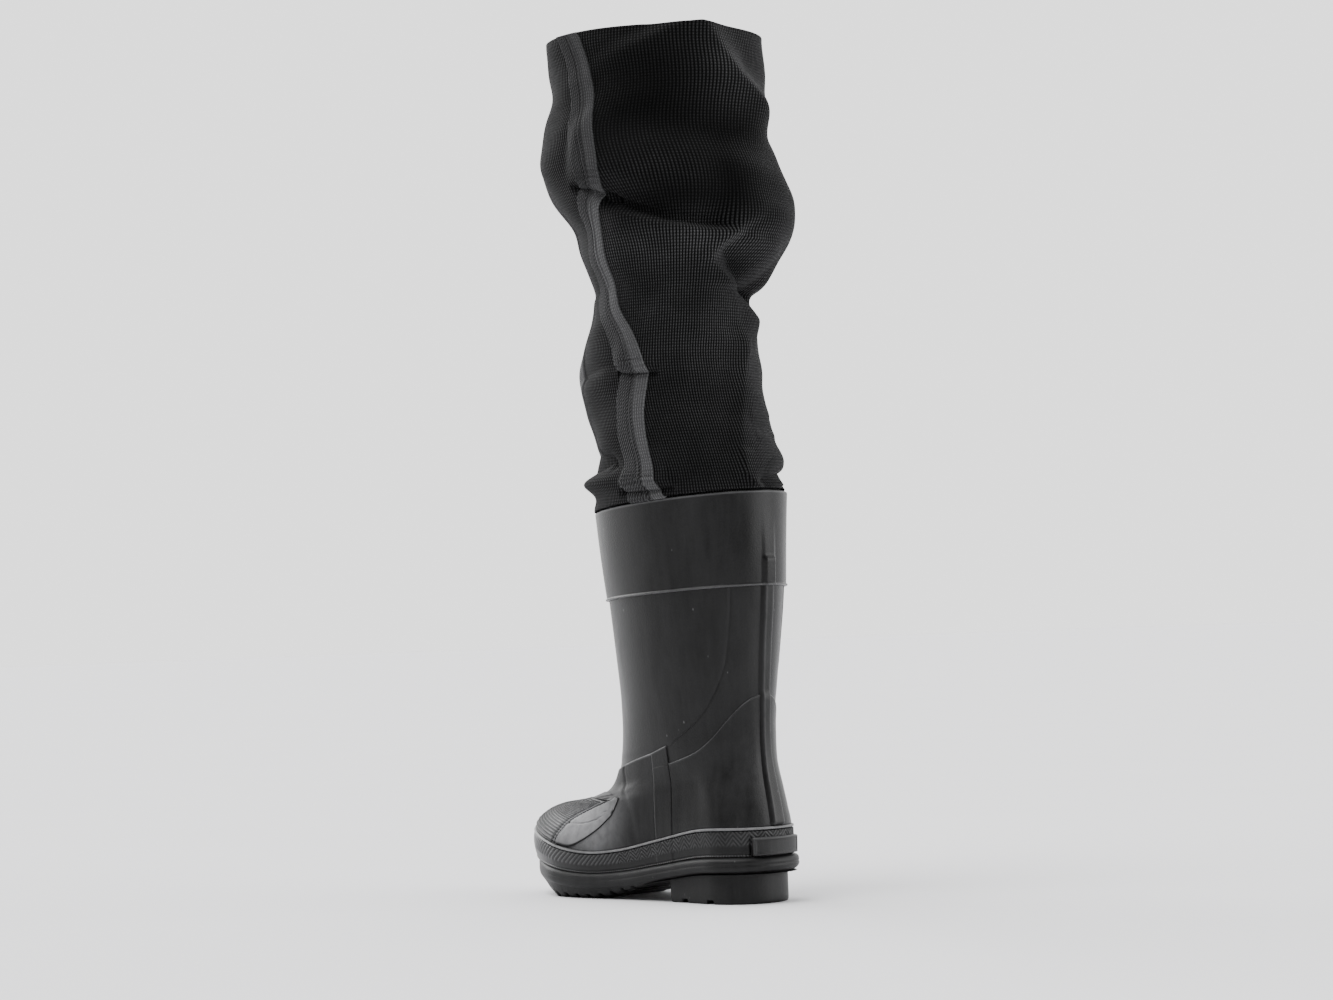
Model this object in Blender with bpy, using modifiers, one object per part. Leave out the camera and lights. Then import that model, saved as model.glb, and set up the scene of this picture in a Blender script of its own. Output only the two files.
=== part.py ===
"""Left leg of a pair of waders: a rubber boot with its neoprene leg.

Metres, +Z up, toe to +Y, outer side of the left foot to -X.
The origin lies on the floor under the middle of the heel.
"""

import bmesh
import bpy
import numpy as np

# Driving sizes
BOOT_LENGTH = 0.280         # upper along the feather line, heel to toe
HEEL_BACK = -0.050          # y of the upper's back at the feather line
BALL_WIDTH = 0.099          # upper across the ball
SEAT_HEIGHT = 0.038         # floor to the feather line at the heel
WALL = 0.0024               # rubber of the upper
GAP = 0.0006                # between an overlay and what carries it
AROUND = 36                 # columns round the upper and the leg

BEAD_DEPTH = 0.014          # rounded edge of the sole, top to bottom
SOLE_AROUND = 48
TREAD_FIRST = 0.0785        # y of the first groove across the tread
TREAD_PITCH = 0.0125
TREAD_COUNT = 12
TREAD_GROOVE = 0.0045
TREAD_DEPTH = 0.0035

HEEL_BLOCK_BACK = -0.046
HEEL_BREAST = 0.0405
HEEL_HALF = 0.0368
HEEL_GROOVES = (0.0215, -0.0085)
HEEL_GROOVE = 0.008
HEEL_ARC = 12               # steps round the back of the heel block

INSOLE_THICK = 0.004
FOXING_THICK = 0.0022
COUNTER_THICK = 0.0010
VAMP_THICK = 0.0007
CAP_THICK = 0.0009
STRIP_THICK = 0.0012
BAND_THICK = 0.0014
SEAM_THICK = 0.0016
PATCH_THICK = 0.0018
STRIP_FRONT = 0.0485        # y of the side strip's two edges
STRIP_BACK = 0.0300
STRIP_TOP = 7.42            # ring that the strip reaches at its back edge
LAP = 0.002                 # turn left free beside a strip
OVER_FOXING = 1.07          # ring where the overlays of the foot start
VAMP_LIFT = 0.0007
CAP_GAP = 0.0009
CAP_LEFT = 0.268            # turn of the toe cap's rear point
SEAM_TURN = 0.012           # half width of the back seam
BAND_ROW = 11               # ring where the collar band starts
COLLAR_ROW = 12
NEOPRENE = 0.0042
TUCK = WALL + 0.0008        # leg below the collar, inside the upper's outer face
TAPE_WIDTH = 0.025
TAPE_THICK = 0.0010
TAPE_GAP = 0.0013           # clear of the leg's folds
KNEE_THICK = 0.0012


def table(columns, rows):
    return dict(zip(columns.split(), np.array(rows, float).T))


# Rings of the upper from the sole to the collar. back and front are shares of the length,
# heel, waist and fore are half widths as shares of the ball width, the rounds are shares of the ring.
RINGS = table("back back_z front front_z heel waist fore back_round front_round dip", [
    (0.000, 0.0380, 1.000, 0.0340, 0.370, 0.365, 0.500, 0.14, 0.25, 1.00),
    (0.000, 0.0610, 1.003, 0.0590, 0.375, 0.390, 0.505, 0.14, 0.25, 1.45),
    (0.007, 0.0740, 0.984, 0.0680, 0.365, 0.405, 0.455, 0.15, 0.27, 1.15),
    (0.016, 0.0860, 0.928, 0.0735, 0.355, 0.405, 0.390, 0.16, 0.30, 0.75),
    (0.025, 0.0970, 0.846, 0.0760, 0.350, 0.400, 0.355, 0.18, 0.34, 0.40),
    (0.032, 0.1070, 0.750, 0.0785, 0.350, 0.395, 0.350, 0.22, 0.39, 0.15),
    (0.037, 0.1180, 0.664, 0.0860, 0.370, 0.400, 0.365, 0.30, 0.44, 0.00),
    (0.039, 0.1320, 0.616, 0.1020, 0.410, 0.420, 0.405, 0.40, 0.48, 0.00),
    (0.037, 0.1500, 0.591, 0.1290, 0.450, 0.450, 0.450, 0.50, 0.50, 0.00),
    (0.030, 0.1750, 0.587, 0.1640, 0.495, 0.495, 0.495, 0.50, 0.50, 0.00),
    (0.020, 0.2050, 0.593, 0.1960, 0.535, 0.535, 0.535, 0.50, 0.50, 0.00),
    (0.002, 0.2535, 0.609, 0.2445, 0.585, 0.585, 0.585, 0.50, 0.50, 0.00),
    (-0.007, 0.3290, 0.639, 0.3160, 0.645, 0.645, 0.645, 0.50, 0.50, 0.00),
])
UPPER_ROWS = (0, 0.5, 1, 1.5, 2, 2.5, 3, 3.5, 4, 4.5, 5, 5.5, 6, 6.5, 7, 7.5, 8, 9, 10, 11, 12)

# Height of the feather line and sideways swing of the last, along the foot
SEAT = table("y z", [
    (-0.050, SEAT_HEIGHT), (0.000, 0.0365), (0.046, 0.0300), (0.090, 0.0235),
    (0.125, 0.0212), (0.150, 0.0225), (0.175, 0.0260), (0.230, 0.0340),
])
SWING = table("y x", [
    (-0.049, 0.000), (0.040, -0.002), (0.095, -0.006), (0.155, -0.003), (0.200, 0.003), (0.235, 0.007),
])

# Sole: how far its bead stands out, how far its tread steps out, and its underside
SOLE = table("y bead tread under", [
    (-0.060, 0.0070, 0.0010, 0.0300), (0.045, 0.0062, 0.0000, 0.0300), (0.070, 0.0058, -0.0030, 0.0115),
    (0.100, 0.0055, -0.0040, 0.0040), (0.122, 0.0052, -0.0040, 0.0000), (0.172, 0.0045, -0.0040, 0.0000),
    (0.200, 0.0038, -0.0040, 0.0035), (0.236, 0.0030, -0.0040, 0.0165),
])
# Side of the sole above its tread: reach as a share of the bead, drop as a share of the bead's depth
SOLE_SIDE = table("reach drop", [(0.45, 0.04), (0.90, 0.18), (1.00, 0.50), (0.85, 0.82), (0.35, 1.00)])

LEG_ROWS = (0, 1) + tuple(np.linspace(2, 14, 19))
# Main folds of the leg: place, spread along and up, reach outward, and climb per metre around
FOLDS = table("turn height around along reach climb", [
    (0.370, 0.340, 0.045, 0.010, 0.010, 0.00),
    (0.340, 0.360, 0.035, 0.011, -0.005, 0.00),
    (0.870, 0.342, 0.040, 0.008, -0.004, 0.00),
    (0.160, 0.561, 0.075, 0.010, -0.010, 0.30),
    (0.160, 0.585, 0.075, 0.014, 0.005, 0.30),
    (0.995, 0.513, 0.022, 0.016, -0.010, 0.00),
    (0.060, 0.515, 0.018, 0.022, 0.004, 0.00),
    (0.910, 0.545, 0.050, 0.020, 0.005, 0.00),
])
TAPE = table("row turn", [
    (1.6, 0.210), (2.3, 0.2215), (3.0, 0.232), (3.7, 0.225), (4.8, 0.200), (6.0, 0.245),
    (8.2, 0.272), (9.0, 0.262), (9.8, 0.240), (10.4, 0.228), (11.7, 0.238), (13.9, 0.244),
])

# Edges of the overlays on the upper: the ring reached at each turn from the back to the front
COUNTER_TOP = table("share row", [
    (0.00, 6.58), (0.14, 6.82), (0.23, 7.39), (0.33, 8.28), (0.41, 8.52), (0.50, 8.70),
    (0.59, 8.52), (0.67, 8.28), (0.77, 7.39), (0.86, 6.82), (1.00, 6.58),
])
VAMP_TOP = table("share row", [(0.00, 7.26), (0.30, 7.06), (0.50, 6.95), (0.70, 7.06), (1.00, 7.26)])
CAP_EDGE = table("turn low high", [
    (0.268, 2.70, 3.40), (0.290, 1.87, 4.40), (0.320, 1.14, 5.10), (0.400, 1.08, 5.65), (0.500, 1.08, 5.90),
])


def smooth(at, stations, values):
    """Cubic through the table's values, flat past its ends."""
    at = np.clip(np.asarray(at, float), stations[0], stations[-1])
    slopes = np.gradient(values, stations)
    left = np.clip(np.searchsorted(stations, at, side="right") - 1, 0, len(stations) - 2)
    span = stations[left + 1] - stations[left]
    u = (at - stations[left]) / span
    ends = values[left] * (1 + 2 * u) * (1 - u) ** 2 + values[left + 1] * u * u * (3 - 2 * u)
    return ends + span * (slopes[left] * u * (1 - u) ** 2 - slopes[left + 1] * u * u * (1 - u))


def ease(share):
    share = np.clip(share, 0, 1)
    return share * share * (3 - 2 * share)


def ring_values(rings, row):
    stations = np.arange(len(rings["back"]), dtype=float)
    return {name: smooth(row, stations, values) for name, values in rings.items()}


def tucked(row):
    """Ring of the leg where it lies inside the boot's wall."""
    ring = ring_values(RINGS, row)
    back = HEEL_BACK + BOOT_LENGTH * ring["back"] + TUCK
    front = HEEL_BACK + BOOT_LENGTH * ring["front"] - TUCK
    return back, ring["back_z"], front, ring["front_z"], BALL_WIDTH * ring["waist"] - TUCK, 0.0


# Rings of the leg from its end inside the boot to the top
LEG_RINGS = table("back back_z front front_z half middle", [
    tucked(BAND_ROW), tucked(COLLAR_ROW),
    (-0.0480, 0.3345, 0.1250, 0.3215, 0.0600, -0.001),
    (-0.0475, 0.3530, 0.1135, 0.3500, 0.0655, -0.004),
    (-0.0350, 0.4010, 0.1190, 0.4010, 0.0690, -0.008),
    (-0.0310, 0.4370, 0.1210, 0.4370, 0.0710, -0.010),
    (-0.0300, 0.4740, 0.1100, 0.4740, 0.0660, -0.010),
    (-0.0255, 0.4900, 0.1065, 0.4900, 0.0635, -0.010),
    (-0.0430, 0.5030, 0.1030, 0.5030, 0.0705, -0.010),
    (-0.0650, 0.5470, 0.1190, 0.5470, 0.0890, -0.010),
    (-0.0570, 0.5840, 0.1410, 0.5840, 0.0965, -0.010),
    (-0.0400, 0.6210, 0.1500, 0.6210, 0.0930, -0.010),
    (-0.0380, 0.6580, 0.1380, 0.6580, 0.0865, -0.010),
    (-0.0340, 0.6950, 0.1420, 0.6950, 0.0865, -0.010),
    (-0.0340, 0.7050, 0.1420, 0.7050, 0.0865, -0.010),
])


def seat(y):
    return smooth(y, SEAT["y"], SEAT["z"])


def swing(y):
    return smooth(y, SWING["y"], SWING["x"])


def upper(turn, row):
    """Outer face of the boot: turn 0 at the back, 0.25 on the outer side, 0.5 at the toe."""
    turn, row = np.broadcast_arrays(np.asarray(turn, float), np.asarray(row, float))
    ring = ring_values(RINGS, row)
    back = HEEL_BACK + BOOT_LENGTH * ring["back"]
    front = HEEL_BACK + BOOT_LENGTH * ring["front"]
    share = (1 - np.cos(2 * np.pi * turn)) / 2
    y = back + share * (front - back)
    heel_part = ring["heel"] + (ring["waist"] - ring["heel"]) * ease((share - 0.15) / 0.33)
    fore_part = ring["waist"] + (ring["fore"] - ring["waist"]) * ease((share - 0.48) / 0.30)
    half = BALL_WIDTH * np.where(share < 0.48, heel_part, fore_part)
    back_end = np.clip(1 - share / ring["back_round"], 0, 1)
    front_end = np.clip(1 - (1 - share) / ring["front_round"], 0, 1)
    half = half * np.sqrt(1 - back_end ** 2) * np.sqrt(1 - front_end ** 2)
    side = np.where(turn % 1 <= 0.5, -1.0, 1.0)
    foot = np.clip((9 - row) / 5, 0, 1)
    chord = seat(back) + (seat(front) - seat(back)) * share
    z = ring["back_z"] + share * (ring["front_z"] - ring["back_z"]) + ring["dip"] * (seat(y) - chord)
    return np.stack([side * half + swing(y) * foot, y, z], -1)


def leg(turn, row):
    """Outer face of the leg, with its main folds above the collar."""
    turn, row = np.broadcast_arrays(np.asarray(turn, float), np.asarray(row, float))
    ring = ring_values(LEG_RINGS, row)
    angle = 2 * np.pi * turn
    share = (1 - np.cos(angle)) / 2
    y = ring["back"] + share * (ring["front"] - ring["back"])
    z = ring["back_z"] + share * (ring["front_z"] - ring["back_z"])
    reach = np.zeros_like(y)
    for at, height, around, along, out, climb in zip(*FOLDS.values()):
        aside = ((turn - at + 0.5) % 1 - 0.5) * 2 * np.pi * ring["half"]
        above = z - height - climb * aside
        reach += out * np.exp(-(aside / around) ** 2 - (above / along) ** 2)
    reach *= ease((row - 2) / 0.5)
    x = ring["middle"] - (ring["half"] + reach) * np.sin(angle)
    return np.stack([x, y - reach * np.cos(angle), z], -1)


def lifted(surface, turn, row, out):
    """Point of a surface moved out along its normal."""
    step = 0.002
    around = surface(turn + step, row) - surface(turn - step, row)
    along = surface(turn, row + step) - surface(turn, row - step)
    normal = np.cross(along, around)
    normal /= np.linalg.norm(normal, axis=-1, keepdims=True)
    return surface(turn, row) + normal * np.asarray(out)[..., None]


def plan(turn, grow):
    """Feather line moved outward in plan."""
    step = 0.001
    point = upper(turn, 0.0)
    along = upper(turn + step, 0.0) - upper(turn - step, 0.0)
    normal = np.stack([-along[..., 1], along[..., 0]], -1)
    normal /= np.linalg.norm(normal, axis=-1, keepdims=True)
    return point[..., :2] + normal * np.asarray(grow)[..., None]


def turn_at(y, row):
    """Turn of the outer side where a ring of the upper passes y."""
    ring = ring_values(RINGS, row)
    share = ((y - HEEL_BACK) / BOOT_LENGTH - ring["back"]) / (ring["front"] - ring["back"])
    return np.arccos(1 - 2 * share) / (2 * np.pi)


def new_collection(name):
    collection = bpy.data.collections.new(name)
    bpy.context.scene.collection.children.link(collection)
    return collection


def surface_material(name, colour, roughness):
    material = bpy.data.materials.new(name)
    material.use_nodes = True
    shader = material.node_tree.nodes["Principled BSDF"]
    shader.inputs["Base Color"].default_value = (*colour, 1)
    shader.inputs["Roughness"].default_value = roughness
    shader.inputs["Metallic"].default_value = 0.0
    return material


def add_object(name, mesh_data, material, collection):
    mesh = bpy.data.meshes.new(name)
    mesh_data.to_mesh(mesh)
    mesh_data.free()
    mesh.materials.append(material)
    mesh.shade_smooth()
    mesh.set_sharp_from_angle(angle=np.radians(40))
    body = bpy.data.objects.new(name, mesh)
    collection.objects.link(body)
    return body


def quads(mesh_data, rings, closed):
    """Faces between neighbouring rings of points, facing out."""
    rows = [[mesh_data.verts.new(point) for point in ring] for ring in rings]
    count = len(rows[0])
    for low, high in zip(rows, rows[1:]):
        for here in range(count if closed else count - 1):
            beside = (here + 1) % count
            mesh_data.faces.new((low[here], high[here], high[beside], low[beside]))
    return rows


def sheet(name, points, closed, wall, side, material, collection):
    """Open surface with Solidify: side 1 builds outward from it, -1 inward."""
    mesh_data = bmesh.new()
    quads(mesh_data, points, closed)
    body = add_object(name, mesh_data, material, collection)
    solidify = body.modifiers.new("wall", "SOLIDIFY")
    solidify.thickness = wall
    solidify.offset = side
    solidify.use_even_offset = True
    return body


def end_faces(mesh_data, ring, up):
    """Close a mirrored ring with rungs from side to side."""
    half = len(ring) // 2
    rungs = [(ring[0], ring[1], ring[-1])]
    rungs += [(ring[i], ring[i + 1], ring[-i - 1], ring[-i]) for i in range(1, half - 1)]
    rungs.append((ring[half - 1], ring[half], ring[half + 1]))
    for rung in rungs:
        mesh_data.faces.new(tuple(reversed(rung)) if up else rung)


def block(name, rings, material, collection):
    """Closed loft from its bottom ring to its top ring."""
    mesh_data = bmesh.new()
    rows = quads(mesh_data, rings, True)
    end_faces(mesh_data, rows[0], False)
    end_faces(mesh_data, rows[-1], True)
    return add_object(name, mesh_data, material, collection)


def cut_boxes(body, boxes, cutters):
    """Cut grooves, each given by its centre and size."""
    mesh_data = bmesh.new()
    for centre, size in boxes:
        made = bmesh.ops.create_cube(mesh_data, size=1.0)["verts"]
        bmesh.ops.scale(mesh_data, vec=size, verts=made)
        bmesh.ops.translate(mesh_data, vec=centre, verts=made)
    cutter = add_object(body.name + "_grooves", mesh_data, body.data.materials[0], cutters)
    cutter.hide_render = True
    cutter.display_type = "WIRE"
    boolean = body.modifiers.new("grooves", "BOOLEAN")
    boolean.operation = "DIFFERENCE"
    boolean.solver = "EXACT"
    boolean.object = cutter


def under(y):
    """Underside of the sole: the tread, or the bead's lower edge where that is lower."""
    return np.minimum(np.interp(y, SOLE["y"], SOLE["under"]), seat(y) - BEAD_DEPTH - 0.001)


def sole_rings():
    turn = np.arange(SOLE_AROUND) / SOLE_AROUND
    y = upper(turn, 0.0)[:, 1]
    bead = np.interp(y, SOLE["y"], SOLE["bead"])
    tread = np.interp(y, SOLE["y"], SOLE["tread"])
    low = under(y)
    edge = low + 0.45 * (seat(y) - BEAD_DEPTH - low)
    rings = [np.column_stack([plan(turn, tread), low]), np.column_stack([plan(turn, tread + 0.004), edge])]
    for reach, drop in reversed(list(zip(*SOLE_SIDE.values()))):
        rings.append(np.column_stack([plan(turn, reach * bead), seat(y) - drop * BEAD_DEPTH]))
    return rings


def heel_rings():
    """D of the heel block: round at the back, nearly straight at the breast."""
    angle = np.linspace(0, np.pi / 2, HEEL_ARC + 1)
    round_y = HEEL_BLOCK_BACK + 0.040 * (1 - np.cos(angle))
    outer = np.column_stack([-HEEL_HALF * np.sin(angle), round_y])
    sides = [(-HEEL_HALF, 0.012), (-HEEL_HALF, HEEL_BREAST - 0.004), (-HEEL_HALF + 0.004, HEEL_BREAST)]
    outer = np.vstack([outer, sides, [(0.0, HEEL_BREAST + 0.0015)]])
    ring = np.vstack([outer, outer[-2:0:-1] * (-1, 1)])
    middle = np.array((0.0, (HEEL_BLOCK_BACK + HEEL_BREAST) / 2))
    foot = middle + (ring - middle) * 0.975
    top = seat(ring[:, 1]) - BEAD_DEPTH - 0.001 - GAP
    outlines = [(foot, 0.0), (ring, 0.0012), (ring, top)]
    return [np.column_stack([outline, np.broadcast_to(z, len(ring))]) for outline, z in outlines]


def upper_patch(name, left, right, low, high, columns, rows, out, wall, material, collection):
    """Overlay on the upper: left and right give turns by row, low and high give rows by share across."""
    share, climb = np.meshgrid(np.linspace(0, 1, columns), np.linspace(0, 1, rows))
    row = low(share) + climb * (high(share) - low(share))
    turn = left(row) + share * (right(row) - left(row))
    points = lifted(upper, turn, row, out(row))
    return sheet(name, points, False, wall, 1, material, collection)


def level(value):
    """Edge or lift that is the same everywhere."""
    return lambda at: np.full(np.shape(at), float(value))


def strip_back(row):
    return turn_at(STRIP_BACK, row)


def strip_front(row):
    return turn_at(STRIP_FRONT, row)


def counter_top(share):
    return smooth(share, COUNTER_TOP["share"], COUNTER_TOP["row"])


def vamp_top(share):
    return smooth(share, VAMP_TOP["share"], VAMP_TOP["row"])


def seam_lift(row):
    """Lift of the back seam: over the counter low down, on the upper above it."""
    return GAP + (COUNTER_THICK + GAP) * (1 - ease((row - 8.8) / 0.4))


def cap_edge(name):
    """Row of the toe cap's edge, the same on both sides of the toe."""
    def row(share):
        turn = CAP_LEFT + share * (1 - 2 * CAP_LEFT)
        return np.interp(0.5 - abs(turn - 0.5), CAP_EDGE["turn"], CAP_EDGE[name])
    return row


for old in list(bpy.data.objects):
    bpy.data.objects.remove(old, do_unlink=True)

parts = new_collection("wader_leg")
cutters = new_collection("cutters")

rubber = surface_material("boot_rubber", (0.055, 0.056, 0.058), 0.42)
sole_rubber = surface_material("sole_rubber", (0.040, 0.040, 0.042), 0.55)
trim_rubber = surface_material("trim_rubber", (0.065, 0.066, 0.068), 0.45)
foam = surface_material("insole_foam", (0.10, 0.10, 0.10), 0.85)
neoprene = surface_material("neoprene", (0.022, 0.022, 0.023), 0.75)
tape_cloth = surface_material("seam_tape", (0.12, 0.12, 0.122), 0.70)
patch_cloth = surface_material("knee_patch", (0.14, 0.14, 0.142), 0.70)

# Sole, heel block and insole
outsole = block("outsole", sole_rings(), sole_rubber, parts)
grooves = []
for number in range(TREAD_COUNT):
    groove_y = TREAD_FIRST + number * TREAD_PITCH
    groove_top = float(under(groove_y)) + TREAD_DEPTH
    grooves.append(((0, groove_y, groove_top - 0.02), (0.16, TREAD_GROOVE, 0.04)))
cut_boxes(outsole, grooves, cutters)

heel = block("heel", heel_rings(), sole_rubber, parts)
cut_boxes(heel, [((0, y, -0.0065), (0.10, HEEL_GROOVE, 0.020)) for y in HEEL_GROOVES], cutters)

sole_turn = np.arange(SOLE_AROUND) / SOLE_AROUND
insole_plan = plan(sole_turn, np.full(SOLE_AROUND, -WALL - 0.0010))
insole_low = seat(insole_plan[:, 1]) + 0.0002
insole_rings = [np.column_stack([insole_plan, insole_low + z]) for z in (0.0, INSOLE_THICK)]
block("insole", insole_rings, foam, parts)

# Upper: one hollow wall, open at the collar and underneath
turns = np.arange(AROUND) / AROUND
turn_grid, row_grid = np.meshgrid(turns, UPPER_ROWS)
sheet("upper", upper(turn_grid, row_grid), True, WALL, -1, rubber, parts)

# Foxing round the foot, and the bare patch on it at the heel
turn_grid, row_grid = np.meshgrid(turns, (0.0, 0.5, 1.0))
foxing_points = lifted(upper, turn_grid, row_grid, np.full(turn_grid.shape, GAP))
sheet("foxing", foxing_points, True, FOXING_THICK, 1, trim_rubber, parts)
upper_patch("heel_patch", level(-0.055), level(0.055), level(0.04), level(0.62), 11, 3,
            level(2 * GAP + FOXING_THICK), PATCH_THICK, trim_rubber, parts)

# Overlays of the foot
upper_patch("counter", lambda row: LAP - strip_back(row), lambda row: strip_back(row) - LAP,
            level(OVER_FOXING), counter_top, 21, 8, level(GAP), COUNTER_THICK, rubber, parts)
upper_patch("vamp", lambda row: strip_front(row) + LAP, lambda row: 1 - LAP - strip_front(row),
            level(OVER_FOXING), vamp_top, 23, 12, level(VAMP_LIFT), VAMP_THICK, rubber, parts)
upper_patch("toe_cap", level(CAP_LEFT), level(1 - CAP_LEFT), cap_edge("low"), cap_edge("high"), 21, 8,
            level(VAMP_LIFT + VAMP_THICK + CAP_GAP), CAP_THICK, rubber, parts)
upper_patch("side_strip_outer", strip_back, strip_front, level(OVER_FOXING),
            lambda share: STRIP_TOP - 0.16 * share, 3, 8, level(GAP), STRIP_THICK, rubber, parts)
upper_patch("side_strip_inner", lambda row: 1 - strip_front(row), lambda row: 1 - strip_back(row),
            level(OVER_FOXING), lambda share: STRIP_TOP - 0.16 * (1 - share), 3, 8, level(GAP),
            STRIP_THICK, rubber, parts)

# Back seam over the counter, and the collar band above it
upper_patch("back_seam", level(-SEAM_TURN), level(SEAM_TURN), level(OVER_FOXING), level(BAND_ROW - 0.03),
            3, 18, seam_lift, SEAM_THICK, rubber, parts)
turn_grid, row_grid = np.meshgrid(turns, (BAND_ROW, COLLAR_ROW))
band_points = lifted(upper, turn_grid, row_grid, np.full(turn_grid.shape, GAP))
sheet("collar_band", band_points, True, BAND_THICK, 1, rubber, parts)

# Leg, with its seam tape and knee patch
turn_grid, row_grid = np.meshgrid(turns, LEG_ROWS)
sheet("leg", leg(turn_grid, row_grid), True, NEOPRENE, -1, neoprene, parts)

tape_rows = np.array([row for row in LEG_ROWS if row > 2.2])
tape_middle = smooth(tape_rows, TAPE["row"], TAPE["turn"])
tape_half = TAPE_WIDTH / 2 / (2 * np.pi * ring_values(LEG_RINGS, tape_rows)["half"])
tape_turn = tape_middle[:, None] + tape_half[:, None] * np.linspace(-1, 1, 4)
tape_grid = np.broadcast_to(tape_rows[:, None], tape_turn.shape)
tape_points = lifted(leg, tape_turn, tape_grid, np.full(tape_turn.shape, TAPE_GAP))
sheet("seam_tape", tape_points, False, TAPE_THICK, 1, tape_cloth, parts)

knee_turns = [turn for turn in turns if 0.36 < turn < 0.64]
knee_rows = [row for row in LEG_ROWS if 3.0 < row < 10.9]
turn_grid, row_grid = np.meshgrid(knee_turns, knee_rows)
knee_points = lifted(leg, turn_grid, row_grid, np.full(turn_grid.shape, GAP))
sheet("knee_patch", knee_points, False, KNEE_THICK, 1, patch_cloth, parts)
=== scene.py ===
"""Looks of the wader leg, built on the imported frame.

Metres, +Z up, toe to +Y, outer side of the left foot to -X.
Surfaces take a turn round the leg (0 at the back, 0.25 on the outer side, 0.5 at the toe) and a row up it.
"""

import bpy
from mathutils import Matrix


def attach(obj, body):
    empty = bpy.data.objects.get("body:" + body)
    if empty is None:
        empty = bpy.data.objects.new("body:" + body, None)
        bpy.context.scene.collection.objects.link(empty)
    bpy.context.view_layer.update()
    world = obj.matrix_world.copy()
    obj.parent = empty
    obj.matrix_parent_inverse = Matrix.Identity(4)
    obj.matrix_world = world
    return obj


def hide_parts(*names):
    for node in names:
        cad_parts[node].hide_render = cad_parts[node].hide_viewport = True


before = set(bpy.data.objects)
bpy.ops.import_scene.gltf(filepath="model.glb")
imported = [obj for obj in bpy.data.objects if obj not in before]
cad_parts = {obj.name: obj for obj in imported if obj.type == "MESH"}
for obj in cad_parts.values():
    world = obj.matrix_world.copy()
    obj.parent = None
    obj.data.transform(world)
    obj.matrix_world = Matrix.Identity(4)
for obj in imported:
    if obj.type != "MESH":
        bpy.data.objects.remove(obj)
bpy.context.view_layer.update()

from types import SimpleNamespace

import bmesh
import bpy
import numpy as np
from mathutils import Matrix, Vector

# Sizes of the boot and the leg
BOOT_LENGTH = 0.28
HEEL_BACK = -0.05
BALL_WIDTH = 0.099
WALL = 0.0024
BEAD_DEPTH = 0.013
HEEL_BLOCK_BACK = -0.046
HEEL_BREAST = 0.0405
HEEL_HALF = 0.0368
HEEL_ROUND = 0.04           # length of the heel block's round back
HEEL_CORNER = 0.004         # radius of its corners at the breast
HEEL_FOOT = 0.004           # height at which its straight sides begin
HEEL_GROOVES = (0.0215, -0.0085)
HEEL_GROOVE = 0.008
HEEL_GROOVE_DEPTH = 0.0035
TREAD_FIRST = 0.0785
TREAD_PITCH = 0.0125
TREAD_COUNT = 12
TREAD_GROOVE = 0.0045
TREAD_DEPTH = 0.0035
STRIP_FRONT = 0.0485
STRIP_BACK = 0.03
STRIP_TOP = 7.42
BAND_ROW = 11
COLLAR_ROW = 12
BAND_HEIGHT = 0.075         # between these two rows
LEG_TOP_ROW = 14
TUCK = WALL + 0.0008
NEOPRENE = 0.0042
CREASE_ROOM = 0.0085        # room for the deepest creases between the leg's outer and inner face
TAPE_WIDTH = 0.025

# Lengths round the boot and the leg, which make metres of a share of a turn
BOOT_GIRTH = 0.4
HEEL_GIRTH = 0.36
FOOT_GIRTH = 0.45
LEG_GIRTH = 0.504

# Sizes of the surface detail
SINK = 0.0004               # how far an overlay's edge dips into what carries it
EDGE = 0.001                # radius of a cut rubber edge
EDGE_LINES = np.array([0.0, 0.12, 0.35, 0.7, 1.2]) * EDGE
CORD_LINES = np.concatenate([EDGE_LINES, np.arange(1.6, 6.5, 0.4) * EDGE])
PALE_EDGE_REACH = 0.002          # how far the pale rim of an edge reaches in: worn rubber and painted highlight
FOXING_HEIGHT = 0.023
FOXING_TOP = 1.03           # row of its top edge
FOXING_LIFT = 0.0026
COUNTER_LIFT = 0.0014
VAMP_LIFT = 0.0013
CAP_LIFT = 0.0022
FIELD_LIFT = 0.0022
STRIP_LIFT = 0.0019
SEAM_LIFT = 0.004
BAND_LIFT = 0.002
PATCH_LIFT = 0.0065
TAPE_LIFT = 0.0018
KNEE_LIFT = 0.0016
RIB_PITCH = 0.0027
RIB_HEIGHT = 0.0012
CHEVRON_PITCH = 0.0031      # slanted ribs on the foxing
CHEVRON_BLOCK = 0.0062      # length of foxing after which their slant changes over
SLANT_PITCH = 0.0046        # ribs beside the toe, which all slant one way
CHEVRON_HEIGHT = 0.001
COLLAR_ROLL = 0.0022        # cloth bulging over the boot's rim
KNURL_PITCH = 0.0024        # row of small bumps along the foxing's foot


def table(columns, rows):
    return dict(zip(columns.split(), np.array(rows, float).T))


def smooth(at, stations, values):
    """Cubic through a table's values, flat past its ends."""
    at = np.clip(np.asarray(at, float), stations[0], stations[-1])
    slopes = np.gradient(values, stations)
    left = np.clip(np.searchsorted(stations, at, side="right") - 1, 0, len(stations) - 2)
    span = stations[left + 1] - stations[left]
    share = (at - stations[left]) / span
    rest = 1 - share
    ends = values[left] * (1 + 2 * share) * rest ** 2 + values[left + 1] * share * share * (3 - 2 * share)
    return ends + span * (slopes[left] * share * rest ** 2 - slopes[left + 1] * share * share * rest)


def curve(columns, rows):
    """Smooth curve that gives a table's second column by its first."""
    stations, values = table(columns, rows).values()
    return lambda at: smooth(at, stations, values)


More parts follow.
